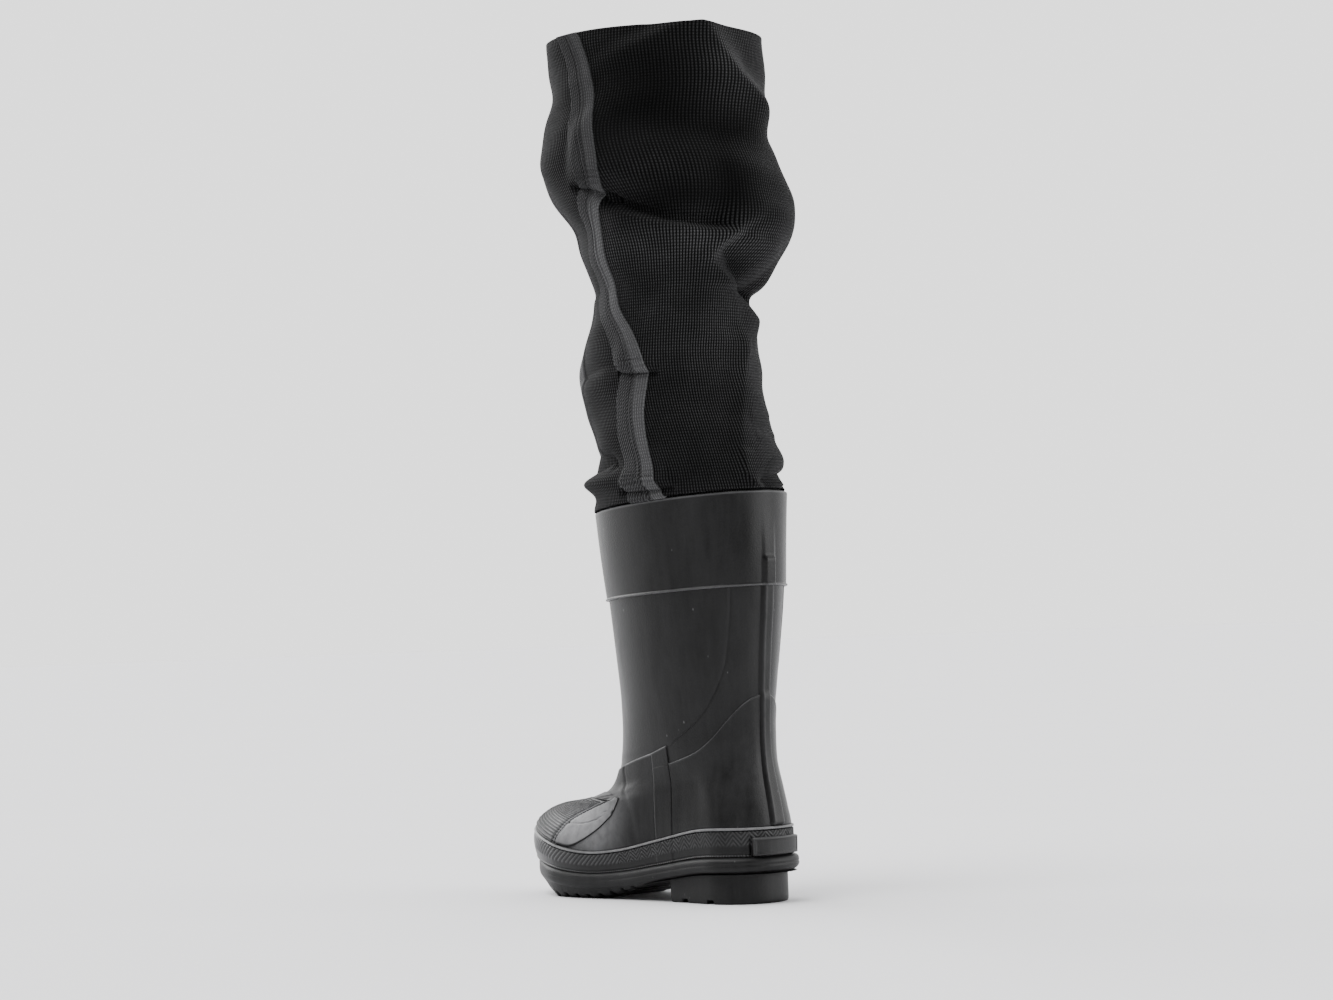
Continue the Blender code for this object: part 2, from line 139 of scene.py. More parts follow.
# Rings of the upper from the sole up: reach to the back and front as shares of the boot's length, with
# heights, half widths as shares of the ball's width, how far the ends are rounded, and how much of the
# seat's curve a ring follows
RINGS = table("back back_z front front_z heel waist fore back_round front_round dip", [
    (0.000, 0.0380, 1.000, 0.0340, 0.370, 0.365, 0.500, 0.14, 0.25, 1.00),
    (0.000, 0.0610, 1.003, 0.0590, 0.375, 0.390, 0.505, 0.14, 0.25, 1.45),
    (0.007, 0.0740, 0.974, 0.0675, 0.365, 0.405, 0.455, 0.15, 0.27, 1.15),
    (0.016, 0.0860, 0.914, 0.0728, 0.355, 0.405, 0.390, 0.16, 0.30, 0.75),
    (0.025, 0.0970, 0.834, 0.0755, 0.350, 0.400, 0.355, 0.18, 0.34, 0.40),
    (0.032, 0.1070, 0.750, 0.0785, 0.350, 0.395, 0.350, 0.22, 0.39, 0.15),
    (0.037, 0.1180, 0.664, 0.0860, 0.370, 0.400, 0.365, 0.30, 0.44, 0.00),
    (0.039, 0.1320, 0.616, 0.1020, 0.410, 0.420, 0.405, 0.40, 0.48, 0.00),
    (0.037, 0.1500, 0.591, 0.1290, 0.450, 0.450, 0.450, 0.50, 0.50, 0.00),
    (0.030, 0.1750, 0.587, 0.1640, 0.495, 0.495, 0.495, 0.50, 0.50, 0.00),
    (0.020, 0.2050, 0.593, 0.1960, 0.535, 0.535, 0.535, 0.50, 0.50, 0.00),
    (0.002, 0.2535, 0.609, 0.2445, 0.585, 0.585, 0.585, 0.50, 0.50, 0.00),
    (-0.007, 0.3290, 0.639, 0.3160, 0.645, 0.645, 0.645, 0.50, 0.50, 0.00),
])
seat = curve("y z", [
    (-0.05, 0.038), (0, 0.0365), (0.046, 0.03), (0.09, 0.0235),
    (0.125, 0.0212), (0.15, 0.0225), (0.175, 0.026), (0.23, 0.034),
])
swing = curve("y x", [
    (-0.049, 0), (0.04, -0.002), (0.095, -0.006), (0.155, -0.003), (0.2, 0.003), (0.235, 0.007),
])
SOLE = table("y bead tread under", [
    (-0.06, 0.007, 0.001, 0.03), (0.045, 0.0062, 0, 0.03), (0.07, 0.0058, -0.003, 0.0115),
    (0.1, 0.0055, -0.004, 0.004), (0.122, 0.0052, -0.004, 0), (0.172, 0.0042, -0.0045, 0),
    (0.2, 0.0016, -0.0095, 0.004), (0.236, -0.0015, -0.014, 0.0175),
])
# Side of the sole with the groove round its bead: reach and drop as shares of the bead
SOLE_SIDE = table("reach drop", [
    (0.3, 0), (0.45, 0.02), (0.72, 0.07), (0.9, 0.16), (0.97, 0.27), (0.99, 0.36), (0.96, 0.41),
    (0.93, 0.45), (0.96, 0.49), (1, 0.55), (0.99, 0.63), (0.9, 0.74), (0.72, 0.85), (0.46, 0.94), (0.25, 1),
])
FOLDS = table("turn height around along reach climb", [
    (0.38, 0.342, 0.033, 0.0085, 0.015, 0),
    (0.36, 0.359, 0.03, 0.009, -0.006, 0),
    (0.87, 0.3385, 0.04, 0.005, -0.0095, 0),
    (0.88, 0.356, 0.035, 0.011, 0.0045, 0),
    (0.372, 0.545, 0.045, 0.016, -0.0055, 0),
    (0.16, 0.6, 0.09, 0.024, 0.004, 0.2),
    (0.005, 0.512, 0.026, 0.015, -0.006, 0),
    (0.91, 0.545, 0.05, 0.02, 0.005, 0),
    (0.5, 0.5, 0.06, 0.012, -0.004, 0),
    (0.62, 0.56, 0.06, 0.018, 0.004, 0.15),
    (0.72, 0.43, 0.05, 0.016, -0.0035, 0.1),
])
tape_middle = curve("row turn", [
    (1.6, 0.212), (2.05, 0.22), (2.7, 0.231), (3.5, 0.226), (4.1, 0.209), (4.9, 0.196),
    (5.4, 0.215), (6, 0.252), (7, 0.268), (8.3, 0.272), (9, 0.262), (9.5, 0.249),
    (9.9, 0.232), (10.8, 0.219), (12, 0.239), (13.9, 0.262),
])
COUNTER_SIDE = [(0, 6.58), (0.07, 6.67), (0.14, 6.86), (0.21, 7.3), (0.28, 7.9), (0.35, 8.34), (0.42, 8.6)]
OTHER_SIDE = [(1 - share, row) for share, row in reversed(COUNTER_SIDE)]
counter_top = curve("share row", COUNTER_SIDE + [(0.5, 8.7)] + OTHER_SIDE)
vamp_top = curve("share row", [(0, 7.26), (0.3, 7.06), (0.5, 6.95), (0.7, 7.06), (1, 7.26)])
CAP_EDGE = table("turn low high", [
    (0.268, 2.9, 3.2), (0.275, 2.45, 3.95), (0.29, 1.83, 4.45), (0.314, 1.14, 4.9), (0.33, 1.08, 5.15),
    (0.4, 1.08, 5.65), (0.5, 1.08, 5.9),
])
CAP_LEFT = 0.268
TAPE_BREAKS = (0.576, 0.43, 0.335)

# Lines on the boot as rows and turns: edge of the shaft's front ply, soft line on the vamp,
# curve on the toe cap, and border of the ribbed field on the toe
ply_line = curve("row turn", [
    (6.8, 0.25), (7.54, 0.207), (8.02, 0.168), (8.76, 0.127), (9.5, 0.102), (10.45, 0.089), (12, 0.085),
])
vamp_line = curve("row turn", [
    (1, 0.226), (1.9, 0.232), (2.96, 0.244), (4.2, 0.268), (5.6, 0.31), (6.95, 0.356),
])
cap_line = curve("turn row", [
    (0.278, 3.85), (0.281, 3.4), (0.285, 2.92), (0.295, 2.66), (0.313, 2.47), (0.331, 2.4),
])
field_edge = curve("row turn", [
    (1, 0.334), (1.9, 0.333), (2.6, 0.33), (3.3, 0.317), (3.8, 0.303), (4.1, 0.29),
])
field_top = curve("share row", [(0, 4.05), (0.12, 4.55), (0.5, 5.4), (0.88, 4.55), (1, 4.05)])


def ease(value, start=0, width=1):
    """Smooth step from 0 at the start to 1 a width further on, or back where the width is negative."""
    share = np.clip((value - start) / width, 0, 1)
    return share * share * (3 - 2 * share)


def repeat(along, pitch):
    """Smooth ribs between 0 and 1."""
    return (np.cos(2 * np.pi * along / pitch) + 1) / 2


def bell(distance, width):
    return np.exp(-(distance / width) ** 2)


def ring_values(rings, row):
    stations = np.arange(len(rings["back"]), dtype=float)
    return {name: smooth(row, stations, values) for name, values in rings.items()}


def tucked(row):
    """Ring of the leg where it lies inside the boot's wall."""
    ring = ring_values(RINGS, row)
    back = HEEL_BACK + BOOT_LENGTH * ring["back"] + TUCK
    front = HEEL_BACK + BOOT_LENGTH * ring["front"] - TUCK
    return back, ring["back_z"], front, ring["front_z"], BALL_WIDTH * ring["waist"] - TUCK, 0.0


LEG_RINGS = table("back back_z front front_z half middle", [
    tucked(BAND_ROW), tucked(COLLAR_ROW),
    (-0.0515, 0.3322, 0.1280, 0.3192, 0.0635, -0.001),
    (-0.0475, 0.3530, 0.1135, 0.3500, 0.0655, -0.004),
    (-0.0350, 0.4010, 0.1190, 0.4010, 0.0690, -0.008),
    (-0.0310, 0.4370, 0.1210, 0.4370, 0.0710, -0.010),
    (-0.0275, 0.4740, 0.1100, 0.4740, 0.0650, -0.010),
    (-0.0255, 0.4900, 0.1065, 0.4900, 0.0635, -0.010),
    (-0.0430, 0.5030, 0.1030, 0.5030, 0.0705, -0.010),
    (-0.0650, 0.5470, 0.1190, 0.5470, 0.0890, -0.010),
    (-0.0570, 0.5840, 0.1410, 0.5840, 0.0965, -0.010),
    (-0.0400, 0.6210, 0.1500, 0.6210, 0.0930, -0.010),
    (-0.0400, 0.6580, 0.1380, 0.6580, 0.0880, -0.010),
    (-0.0375, 0.6950, 0.1420, 0.6950, 0.0885, -0.010),
    (-0.0375, 0.7050, 0.1420, 0.7050, 0.0885, -0.010),
])

# The same rings with the neck below the knee evened out, for the outer side,
# where the cloth runs straight down
EVEN_BACK = (-0.031, -0.0315, -0.0345, -0.0385, -0.053, -0.056)
EVEN_HALF = (0.07, 0.0675, 0.07, 0.0735, 0.086, 0.0945)
LEG_EVEN = {name: values.copy() for name, values in LEG_RINGS.items()}
LEG_EVEN["back"][5:11] = EVEN_BACK
LEG_EVEN["half"][5:11] = EVEN_HALF

# Creases of the leg: points (turn, height), reach outward, sag, and how far it spreads to the left and
# to the right of the line's direction. A narrow side makes a drop, a wide one a slope.
LEG_RADIUS = 0.075
CREASES = [
    # knee: cloth of the thigh bulging over, two pinched lines, and edge of the shelf below them
    ([(0.04, 0.575), (0.133, 0.578), (0.179, 0.586), (0.215, 0.597), (0.262, 0.606)],
     0.007, 0, 0.034, 0.018),
    ([(0.02, 0.542), (0.083, 0.544), (0.133, 0.548), (0.179, 0.5565), (0.243, 0.574)],
     -0.011, 0, 0.018, 0.005),
    ([(0.09, 0.549), (0.14, 0.554), (0.185, 0.563), (0.222, 0.5745)], -0.0018, 0, 0.0018, 0.0018),
    ([(-0.12, 0.523), (-0.026, 0.528), (0.026, 0.534), (0.083, 0.538), (0.135, 0.541),
      (0.182, 0.549), (0.25, 0.563)], 0.006, 0, 0.0045, 0.024),
    # edge of the thigh's outer half, rounded off towards the inner half behind it
    ([(0.07, 0.72), (0.045, 0.696), (0.027, 0.679), (0.008, 0.661), (-0.105, 0.615)],
     0.016, 0, 0.05, 0.014),
    # pocket below the knee and the thin ridge left of it
    ([(0.048, 0.529), (0.01, 0.513), (-0.03, 0.5), (-0.11, 0.488)], -0.014, 0, 0.008, 0.02),
    ([(-0.11, 0.46), (-0.07, 0.475), (-0.046, 0.486), (0.021, 0.497), (0.059, 0.511), (0.069, 0.526)],
     0.0065, 0, 0.0045, 0.018),
    # soft swelling across the calf
    ([(0.17, 0.49), (0.12, 0.472), (0.07, 0.458), (0.01, 0.45), (-0.04, 0.452)], 0.0045, 0, 0.016, 0.022),
    # creases where the seam buckles
    ([(0.195, 0.562), (0.214, 0.569), (0.232, 0.575), (0.275, 0.58)], -0.0055, 0, 0.003, 0.0035),
    ([(0.14, 0.427), (0.195, 0.4275), (0.23, 0.429)], -0.005, 0, 0.0022, 0.003),
    ([(0.145, 0.435), (0.195, 0.4355), (0.24, 0.437)], 0.003, 0.0015, 0.008, 0.004),
    ([(0.16, 0.3335), (0.215, 0.333), (0.275, 0.333)], -0.005, 0, 0.0025, 0.003),
    ([(0.165, 0.342), (0.215, 0.3415), (0.275, 0.342)], 0.0032, 0.001, 0.009, 0.004),
    # dent on the outer side of the shin
    ([(0.21, 0.4345), (0.266, 0.435), (0.33, 0.431), (0.385, 0.427)], -0.0045, 0, 0.012, 0.006),
    # crease under the shin's outer edge, over the lip at the collar
    ([(0.285, 0.35), (0.3, 0.3605), (0.335, 0.36), (0.39, 0.357)], -0.004, 0, 0.004, 0.005),
    # upright fold at the back, above the collar
    ([(0.005, 0.327), (0.033, 0.3345), (0.043, 0.343), (0.038, 0.358), (0.023, 0.377), (0.004, 0.402),
      (-0.016, 0.432), (-0.034, 0.456), (-0.046, 0.482)], 0.0056, 0, 0.026, 0.009),
    ([(0.005, 0.329), (0.033, 0.3345), (0.043, 0.343), (0.039, 0.356), (0.035, 0.366)],
     0.0026, 0, 0.01, 0.0022),
    # hollow over the collar on the inner side and at the back
    ([(-0.18, 0.344), (-0.1, 0.341), (-0.05, 0.339), (-0.005, 0.337), (0.03, 0.3365)],
     -0.0032, 0, 0.0035, 0.0025),
    # short wrinkles on the inner side
    ([(-0.125, 0.377), (-0.06, 0.371), (-0.005, 0.372)], 0.0014, 0, 0.006, 0.0035),
    ([(-0.11, 0.393), (-0.05, 0.388), (0, 0.39)], 0.0012, 0, 0.007, 0.004),
    ([(0.62, 0.53), (0.72, 0.515), (0.82, 0.505)], -0.005, 0, 0.006, 0.008),
    ([(0.6, 0.545), (0.72, 0.532), (0.83, 0.522)], 0.0045, 0.002, 0.018, 0.005),
    ([(0.56, 0.352), (0.66, 0.345), (0.76, 0.343), (0.83, 0.346)], 0.005, 0.001, 0.007, 0.005),
]

# Painted light and shade of the cloth (lit shelf and ridges, shaded creases, pocket, overhangs and far edge)
# and a paler calf: place, size around and along the leg, and change of tone
PAINTED_SHADING = table("turn height around along amount", [
    (0.11, 0.462, 0.06, 0.04, 0.28), (0, 0.44, 0.04, 0.05, 0.2), (0.09, 0.527, 0.075, 0.018, 0.75),
    (0.14, 0.645, 0.07, 0.05, -0.32), (0.005, 0.602, 0.03, 0.026, -0.35), (0.11, 0.562, 0.05, 0.01, -0.22),
    (0.012, 0.512, 0.02, 0.012, -0.4), (0.02, 0.668, 0.018, 0.032, 0.45), (0.92, 0.365, 0.03, 0.03, 0.2),
    (0.32, 0.62, 0.05, 0.06, -0.36), (0.09, 0.59, 0.04, 0.014, 0.1), (0.9, 0.58, 0.045, 0.06, -0.3),
    (0.03, 0.58, 0.05, 0.02, -0.2),
])
PAINTED_SHADING_BASE = 0.42


def upper(turn, row):
    """Outer face of the boot, straight up past the collar."""
    turn, row = np.broadcast_arrays(np.asarray(turn, float), np.asarray(row, float))
    ring = ring_values(RINGS, row)
    back = HEEL_BACK + BOOT_LENGTH * ring["back"]
    front = HEEL_BACK + BOOT_LENGTH * ring["front"]
    share = (1 - np.cos(2 * np.pi * turn)) / 2
    y = back + share * (front - back)
    heel_part = ring["heel"] + (ring["waist"] - ring["heel"]) * ease(share, 0.15, 0.33)
    fore_part = ring["waist"] + (ring["fore"] - ring["waist"]) * ease(share, 0.48, 0.3)
    half = BALL_WIDTH * np.where(share < 0.48, heel_part, fore_part)
    back_end = np.clip(1 - share / ring["back_round"], 0, 1)
    front_end = np.clip(1 - (1 - share) / ring["front_round"], 0, 1)
    half = half * np.sqrt(1 - back_end ** 2) * np.sqrt(1 - front_end ** 2)
    side = np.where(turn % 1 <= 0.5, -1.0, 1.0)
    foot = np.clip((9 - row) / 5, 0, 1)
    chord = seat(back) + (seat(front) - seat(back)) * share
    z = ring["back_z"] + share * (ring["front_z"] - ring["back_z"]) + ring["dip"] * (seat(y) - chord)
    z = z + BAND_HEIGHT * np.maximum(row - COLLAR_ROW, 0)
    return np.stack([side * half + swing(y) * foot, y, z], -1)


def apart(turn, at=0):
    """Turn from a place, between -0.5 and 0.5."""
    return (turn - at + 0.5) % 1 - 0.5


def line_distance(turn, height, points):
    """Distance to a line on the leg, positive on its left, and how far along the line, from 0 to 1."""
    around = 2 * np.pi * LEG_RADIUS
    path = np.array(points, float) * (around, 1)
    here = np.stack([(apart(turn, points[0][0]) + points[0][0]) * around, height], -1)
    best, side, along = np.full(turn.shape, np.inf), np.ones(turn.shape), np.zeros(turn.shape)
    for number, (start, end) in enumerate(zip(path, path[1:])):
        way = end - start
        share = np.clip(((here - start) @ way) / (way @ way), 0, 1)
        off = here - start - share[..., None] * way
        far = np.hypot(off[..., 0], off[..., 1])
        nearer = far < best
        best = np.where(nearer, far, best)
        side = np.where(nearer, np.sign(way[0] * off[..., 1] - way[1] * off[..., 0]), side)
        along = np.where(nearer, (number + share) / (len(path) - 1), along)
    return best * side, along


def ripples(turn, height):
    """Slight unevenness of the cloth all over."""
    return sum(0.0005 * np.sin(2 * np.pi * (across * turn + height / pitch) + across)
               for across, pitch in ((2, 0.083), (-3, 0.061), (5, 0.047), (-7, 0.105), (4, -0.036)))


def leg(turn, row):
    """Outer face of the leg, with its folds and creases above the collar."""
    turn, row = np.broadcast_arrays(np.asarray(turn, float), np.asarray(row, float))
    ring, even = ring_values(LEG_RINGS, row), ring_values(LEG_EVEN, row)
    outer_side = apart(turn)
    evenness = ease(outer_side, -0.01, 0.09) * ease(outer_side, 0.35, -0.12)
    for name in ("back", "half"):
        ring[name] = ring[name] + evenness * (even[name] - ring[name])
    angle = 2 * np.pi * turn
    share = (1 - np.cos(angle)) / 2
    y = ring["back"] + share * (ring["front"] - ring["back"])
    z = ring["back_z"] + share * (ring["front_z"] - ring["back_z"])
    reach, sag = ripples(turn, z), np.zeros_like(y)
    for at, height, around, along, out, climb in zip(*FOLDS.values()):
        aside = apart(turn, at) * 2 * np.pi * ring["half"]
        above = z - height - climb * aside
        reach += out * np.exp(-(aside / around) ** 2 - (above / along) ** 2)
    for points, out, drop, left, right in CREASES:
        away, along = line_distance(turn, z, points)
        spread = np.where(away > 0, left, right)
        ends = ease(along, 0, 0.15) * ease(along, 1, -0.15)
        profile = ends * np.exp(-(np.abs(away) / spread) ** 1.5)
        reach += out * profile
        sag += drop * profile
    free = ease(row, 1.3, 0.8)
    rim = ease(row, 1.2, 0.4) * (1 - ease(row, 2.1, 0.8))
    inner_side = bell(apart(turn, -0.14), 0.07)
    reach = reach * free + COLLAR_ROLL * rim * (1 - 0.85 * inner_side)
    sag = sag * free
    x = ring["middle"] - (ring["half"] + reach) * np.sin(angle)
    return np.stack([x, y - reach * np.cos(angle), z - sag], -1)


def painted_shading(turn, height):
    """Painted light and shade of the cloth, from 0 to 1."""
    tone = np.full(turn.shape, PAINTED_SHADING_BASE)
    for at, middle, around, along, amount in zip(*PAINTED_SHADING.values()):
        aside = apart(turn, at) * 2 * np.pi * LEG_RADIUS
        tone += amount * np.exp(-(aside / around) ** 2 - ((height - middle) / along) ** 2)
    return np.clip(tone, 0.05, 1)


def normals(surface, turn, row):
    step = 0.002
    around = surface(turn + step, row) - surface(turn - step, row)
    along = surface(turn, row + step) - surface(turn, row - step)
    normal = np.cross(along, around)
    return normal / np.linalg.norm(normal, axis=-1, keepdims=True)


def lifted(surface, turn, row, out):
    """Point of a surface moved out along its normal."""
    turn, row = np.broadcast_arrays(np.asarray(turn, float), np.asarray(row, float))
    return surface(turn, row) + normals(surface, turn, row) * np.broadcast_to(out, turn.shape)[..., None]


def plan(turn, grow):
    """Feather line moved outward in plan."""
    step = 0.001
    point = upper(turn, 0.0)
    along = upper(turn + step, 0.0) - upper(turn - step, 0.0)
    normal = np.stack([-along[..., 1], along[..., 0]], -1)
    normal /= np.linalg.norm(normal, axis=-1, keepdims=True)
    return point[..., :2] + normal * np.asarray(grow)[..., None]


def turn_at(y, row):
    """Turn of the outer side where a ring of the upper passes y."""
    ring = ring_values(RINGS, row)
    share = ((y - HEEL_BACK) / BOOT_LENGTH - ring["back"]) / (ring["front"] - ring["back"])
    return np.arccos(1 - 2 * np.clip(share, 0, 1)) / (2 * np.pi)


def under(y):
    """Underside of the sole: the tread, or the bead's lower edge where that is lower."""
    return np.minimum(np.interp(y, SOLE["y"], SOLE["under"]), seat(y) - BEAD_DEPTH - 0.001)


def arc_lengths(points, axis):
    """Length along a grid's lines, from its first point."""
    steps = np.linalg.norm(np.diff(points, axis=axis), axis=-1)
    return np.concatenate([np.zeros_like(np.take(steps, [0], axis)), np.cumsum(steps, axis)], axis)


class Builder:
    """Collects grids of points into one mesh, with a UV map in metres and a value at each point for worn
    edges and painted light and shade.
    """

    def __init__(self):
        self.points, self.faces, self.uvs, self.wear_and_painted_light = [], [], [], []
        self.count = 0

    def grid(self, points, uv=None, wear_and_painted_light=0.0, round_columns=False, round_rows=False, flip=False):
        """uv has one more column or row than points where the grid is round that way.

        Where it isn't given, it is measured along the grid's lines.
        """
        if uv is None:
            closed = np.pad(points, ((0, round_rows), (0, round_columns), (0, 0)), mode="wrap")
            uv = np.stack([arc_lengths(closed, 1), arc_lengths(closed, 0)], -1)
        rows, columns = points.shape[:2]
        row, column = np.indices((rows - (not round_rows), columns - (not round_columns)))
        corners = [(0, 0), (1, 0), (1, 1), (0, 1)]
        if flip:
            corners.reverse()
        face = [((row + r) % rows) * columns + (column + c) % columns for r, c in corners]
        self.faces.append(np.stack(face, -1).reshape(-1, 4) + self.count)
        self.uvs.append(np.stack([uv[row + r, column + c] for r, c in corners], -2).reshape(-1, 2))
        self.points.append(points.reshape(-1, 3))
        self.wear_and_painted_light.append(np.broadcast_to(wear_and_painted_light, (rows, columns)).ravel())
        self.count += rows * columns

    def mesh(self, name, sharp):
        made = bpy.data.meshes.new(name)
        made.from_pydata(np.vstack(self.points).tolist(), [], np.vstack(self.faces).tolist())
        made.uv_layers.new(name="metres").data.foreach_set("uv", np.vstack(self.uvs).ravel())
        made.attributes.new("wear_and_painted_light", "FLOAT", "POINT").data.foreach_set("value", np.concatenate(self.wear_and_painted_light))
        bm = bmesh.new()
        bm.from_mesh(made)
        bmesh.ops.remove_doubles(bm, verts=bm.verts, dist=1e-7)
        bm.to_mesh(made)
        bm.free()
        made.shade_smooth()
        made.set_sharp_from_angle(angle=np.radians(sharp))
        return made


def add_object(name, data):
    made = bpy.data.objects.new(name, data)
    bpy.context.scene.collection.objects.link(made)
    return made


def add_piece(name, builder, material, node, sharp=50):
    """Object on the root body that stands for a node."""
    mesh = builder.mesh(name, sharp)
    mesh.materials.append(material)
    piece = add_object(name, mesh)
    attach(piece, "root")
    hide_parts(node)
    return piece


def spaced(count, length, lines):
    """Shares from 0 to 1, with extra lines near both ends for a rounded edge."""
    near = lines / length
    return np.concatenate([near, np.linspace(near[-1], 1 - near[-1], count)[1:-1], 1 - near[::-1]])


def rounded(distance, radius=EDGE):
    """Share of the full height beside a rounded edge."""
    return np.sqrt(1 - (1 - np.clip(distance / radius, 0, 1)) ** 2)


def overlay(builder, surface, left, right, low, high, columns, rows, lift, relief=None, foot=0.0,
            worn_and_painted_highlights=(0, 0, 0, 0), painted_light_and_dust=None, lines=EDGE_LINES):
    """Closed sheet on a surface with rounded edges that dip into it.

    left and right give turns by row, low and high give rows by share across. relief adds height, and
    painted_light_and_dust gives paleness of dust and painted light, by the turn, row, mirrored turn and
    distances from edges that a place holds. foot is the height at the edge, worn_and_painted_highlights says
    how pale the left, right, low and high edges are from wear and painted highlights, and lines are the
    distances from the edges that get lines of points.
    """
    def chart(shares, climbs):
        share, climb = np.meshgrid(shares, climbs)
        row = low(share) + climb * (high(share) - low(share))
        return left(row) + share * (right(row) - left(row)), row

    coarse = surface(*chart(np.linspace(0, 1, 21), np.linspace(0, 1, 21)))
    width = np.mean(arc_lengths(coarse, 1)[:, -1])
    height = np.mean(arc_lengths(coarse, 0)[-1])
    turn, row = chart(spaced(columns, width, lines), spaced(rows, height, lines))
    base, normal = surface(turn, row), normals(surface, turn, row)
    across, along = arc_lengths(base, 1), arc_lengths(base, 0)
    sides = np.array([across, across[:, -1:] - across, along, along[-1:] - along])
    edge = sides.min(0)
    place = SimpleNamespace(turn=turn, row=row, side=mirrored(turn), edge=edge,
                            **dict(zip(("left", "right", "low", "high"), sides)))
    # pale rims along the edges: worn rubber and painted highlights
    wear_and_painted_light = np.max([share * (1 - ease(side, 0, PALE_EDGE_REACH)) for share, side in zip(worn_and_painted_highlights, sides)], 0)
    # pale areas: dust and painted light
    if painted_light_and_dust:
        wear_and_painted_light = np.maximum(wear_and_painted_light, painted_light_and_dust(place))
    out = foot + (lift - foot) * rounded(edge)
    if relief:
        out = out + relief(place) * ease(edge, 0, EDGE)
    outer = base + normal * out[..., None]
    inner = base - normal * SINK
    close_sheet(builder, outer, inner, np.stack([across, along], -1), wear_and_painted_light)
    return builder


def close_sheet(builder, outer, inner, uv, wear_and_painted_light):
    """Outer and inner face of a sheet and its four edges."""
    wear_and_painted_light = np.broadcast_to(wear_and_painted_light, outer.shape[:2])
    builder.grid(outer, uv, wear_and_painted_light)
    builder.grid(inner, uv, flip=True)
    for line in (np.s_[:, 0], np.s_[:, -1], np.s_[0], np.s_[-1]):
        rim = np.stack([outer[line], inner[line]])
        builder.grid(rim, np.stack([uv[line], uv[line]]), np.stack([wear_and_painted_light[line], wear_and_painted_light[line]]),
                     flip=line in (np.s_[:, -1], np.s_[0]))


def hoop(surface, turns, rows, lifts, wear_and_painted_light):
    """Ring with a closed cross-section, given by rows and lifts round the section."""
    points = lifted(surface, *np.meshgrid(turns, rows), lifts)
    builder = Builder()
    builder.grid(points, wear_and_painted_light=wear_and_painted_light, round_columns=True, round_rows=True)
    return builder


def runs(*stretches):
    """Evenly spaced values in several stretches, each given by its first, last and number of values."""
    return np.concatenate([np.linspace(*stretch) for stretch in stretches])


def level(value):
    """Edge that is the same everywhere."""
    return lambda at: np.full(np.shape(at), float(value))


def opposite(edge):
    """Edge on the inner side that mirrors one on the outer side."""
    return lambda row: 1 - edge(row)


def strip_back(row):
    return turn_at(STRIP_BACK, row)


def strip_front(row):
    return turn_at(STRIP_FRONT, row)


def cap_edge(name):
    """Row of the toe cap's edge, the same on both sides of the toe."""
    def row(share):
        turn = CAP_LEFT + share * (1 - 2 * CAP_LEFT)
        return smooth(0.5 - abs(turn - 0.5), CAP_EDGE["turn"], CAP_EDGE[name])
    return row


def mirrored(turn):
    """Turn of the outer side that lies opposite, so that both sides share one line."""
    return 0.5 - abs(turn % 1 - 0.5)


# Materials

def add_node(tree, kind, inputs=(), **settings):
    made = tree.nodes.new(kind)
    for name, value in settings.items():
        setattr(made, name, value)
    for name, value in dict(inputs).items():
        if isinstance(value, bpy.types.NodeSocket):
            tree.links.new(value, made.inputs[name])
        else:
            made.inputs[name].default_value = value
    return made


def math_node(tree, operation, first, second=0.0):
    return add_node(tree, "ShaderNodeMath", {0: first, 1: second}, operation=operation).outputs[0]


def times(tree, first, second):
    return math_node(tree, "MULTIPLY", first, second)


def ramp(tree, value, low, high, start, end):
    made = add_node(tree, "ShaderNodeMapRange", {
        "Value": value, "From Min": low, "From Max": high, "To Min": start, "To Max": end})
    return made.outputs["Result"]


def tint(tree, share, dark, light):
    """Colour between two greys, given as one number each."""
    made = add_node(tree, "ShaderNodeValToRGB", {"Fac": share})
    made.color_ramp.elements[0].color = (dark, dark, dark * 1.02, 1)
    made.color_ramp.elements[1].color = (light, light, light * 1.02, 1)
    return made.outputs["Color"]


def noise(tree, coordinates, scale, detail=3.0, roughness=0.5):
    made = add_node(tree, "ShaderNodeTexNoise", {
        "Vector": coordinates, "Scale": scale, "Detail": detail, "Roughness": roughness})
    return made.outputs["Fac"]


def drawn_out(tree, where, height):
    """Coordinates that draw a pattern out upwards."""
    return add_node(tree, "ShaderNodeMapping", {"Vector": where, "Scale": (1.0, 1.0, height)}).outputs[0]


def wear_and_painted_light_value(tree):
    """The value kept at each point of a mesh: worn edges, and painted light and shade."""
    return add_node(tree, "ShaderNodeAttribute", attribute_name="wear_and_painted_light").outputs["Fac"]


def wave(tree, value, pitch):
    """Share from 0 to 1 that repeats at a pitch in metres."""
    turned = math_node(tree, "SINE", times(tree, value, 2 * np.pi / pitch))
    return ramp(tree, turned, -1, 1, 0, 1)


def new_material(name, **constants):
    material = bpy.data.materials.new(name)
    material.use_nodes = True
    tree = material.node_tree
    shader = tree.nodes["Principled BSDF"]
    for socket, value in constants.items():
        shader.inputs[socket.replace("_", " ")].default_value = value
    coordinates = add_node(tree, "ShaderNodeTexCoord")
    return material, tree, shader, coordinates


def bump(tree, shader, height, distance):
    made = add_node(tree, "ShaderNodeBump", {"Height": height, "Distance": distance, "Strength": 1.0})
    tree.links.new(made.outputs["Normal"], shader.inputs["Normal"])


def paler(tree, share, colour, grey):
    """Colour that goes over to a pale grey."""
    pale = (grey, grey, grey * 1.02, 1)
    return add_node(tree, "ShaderNodeMix", {0: share, 6: colour, 7: pale}, data_type="RGBA").outputs[2]


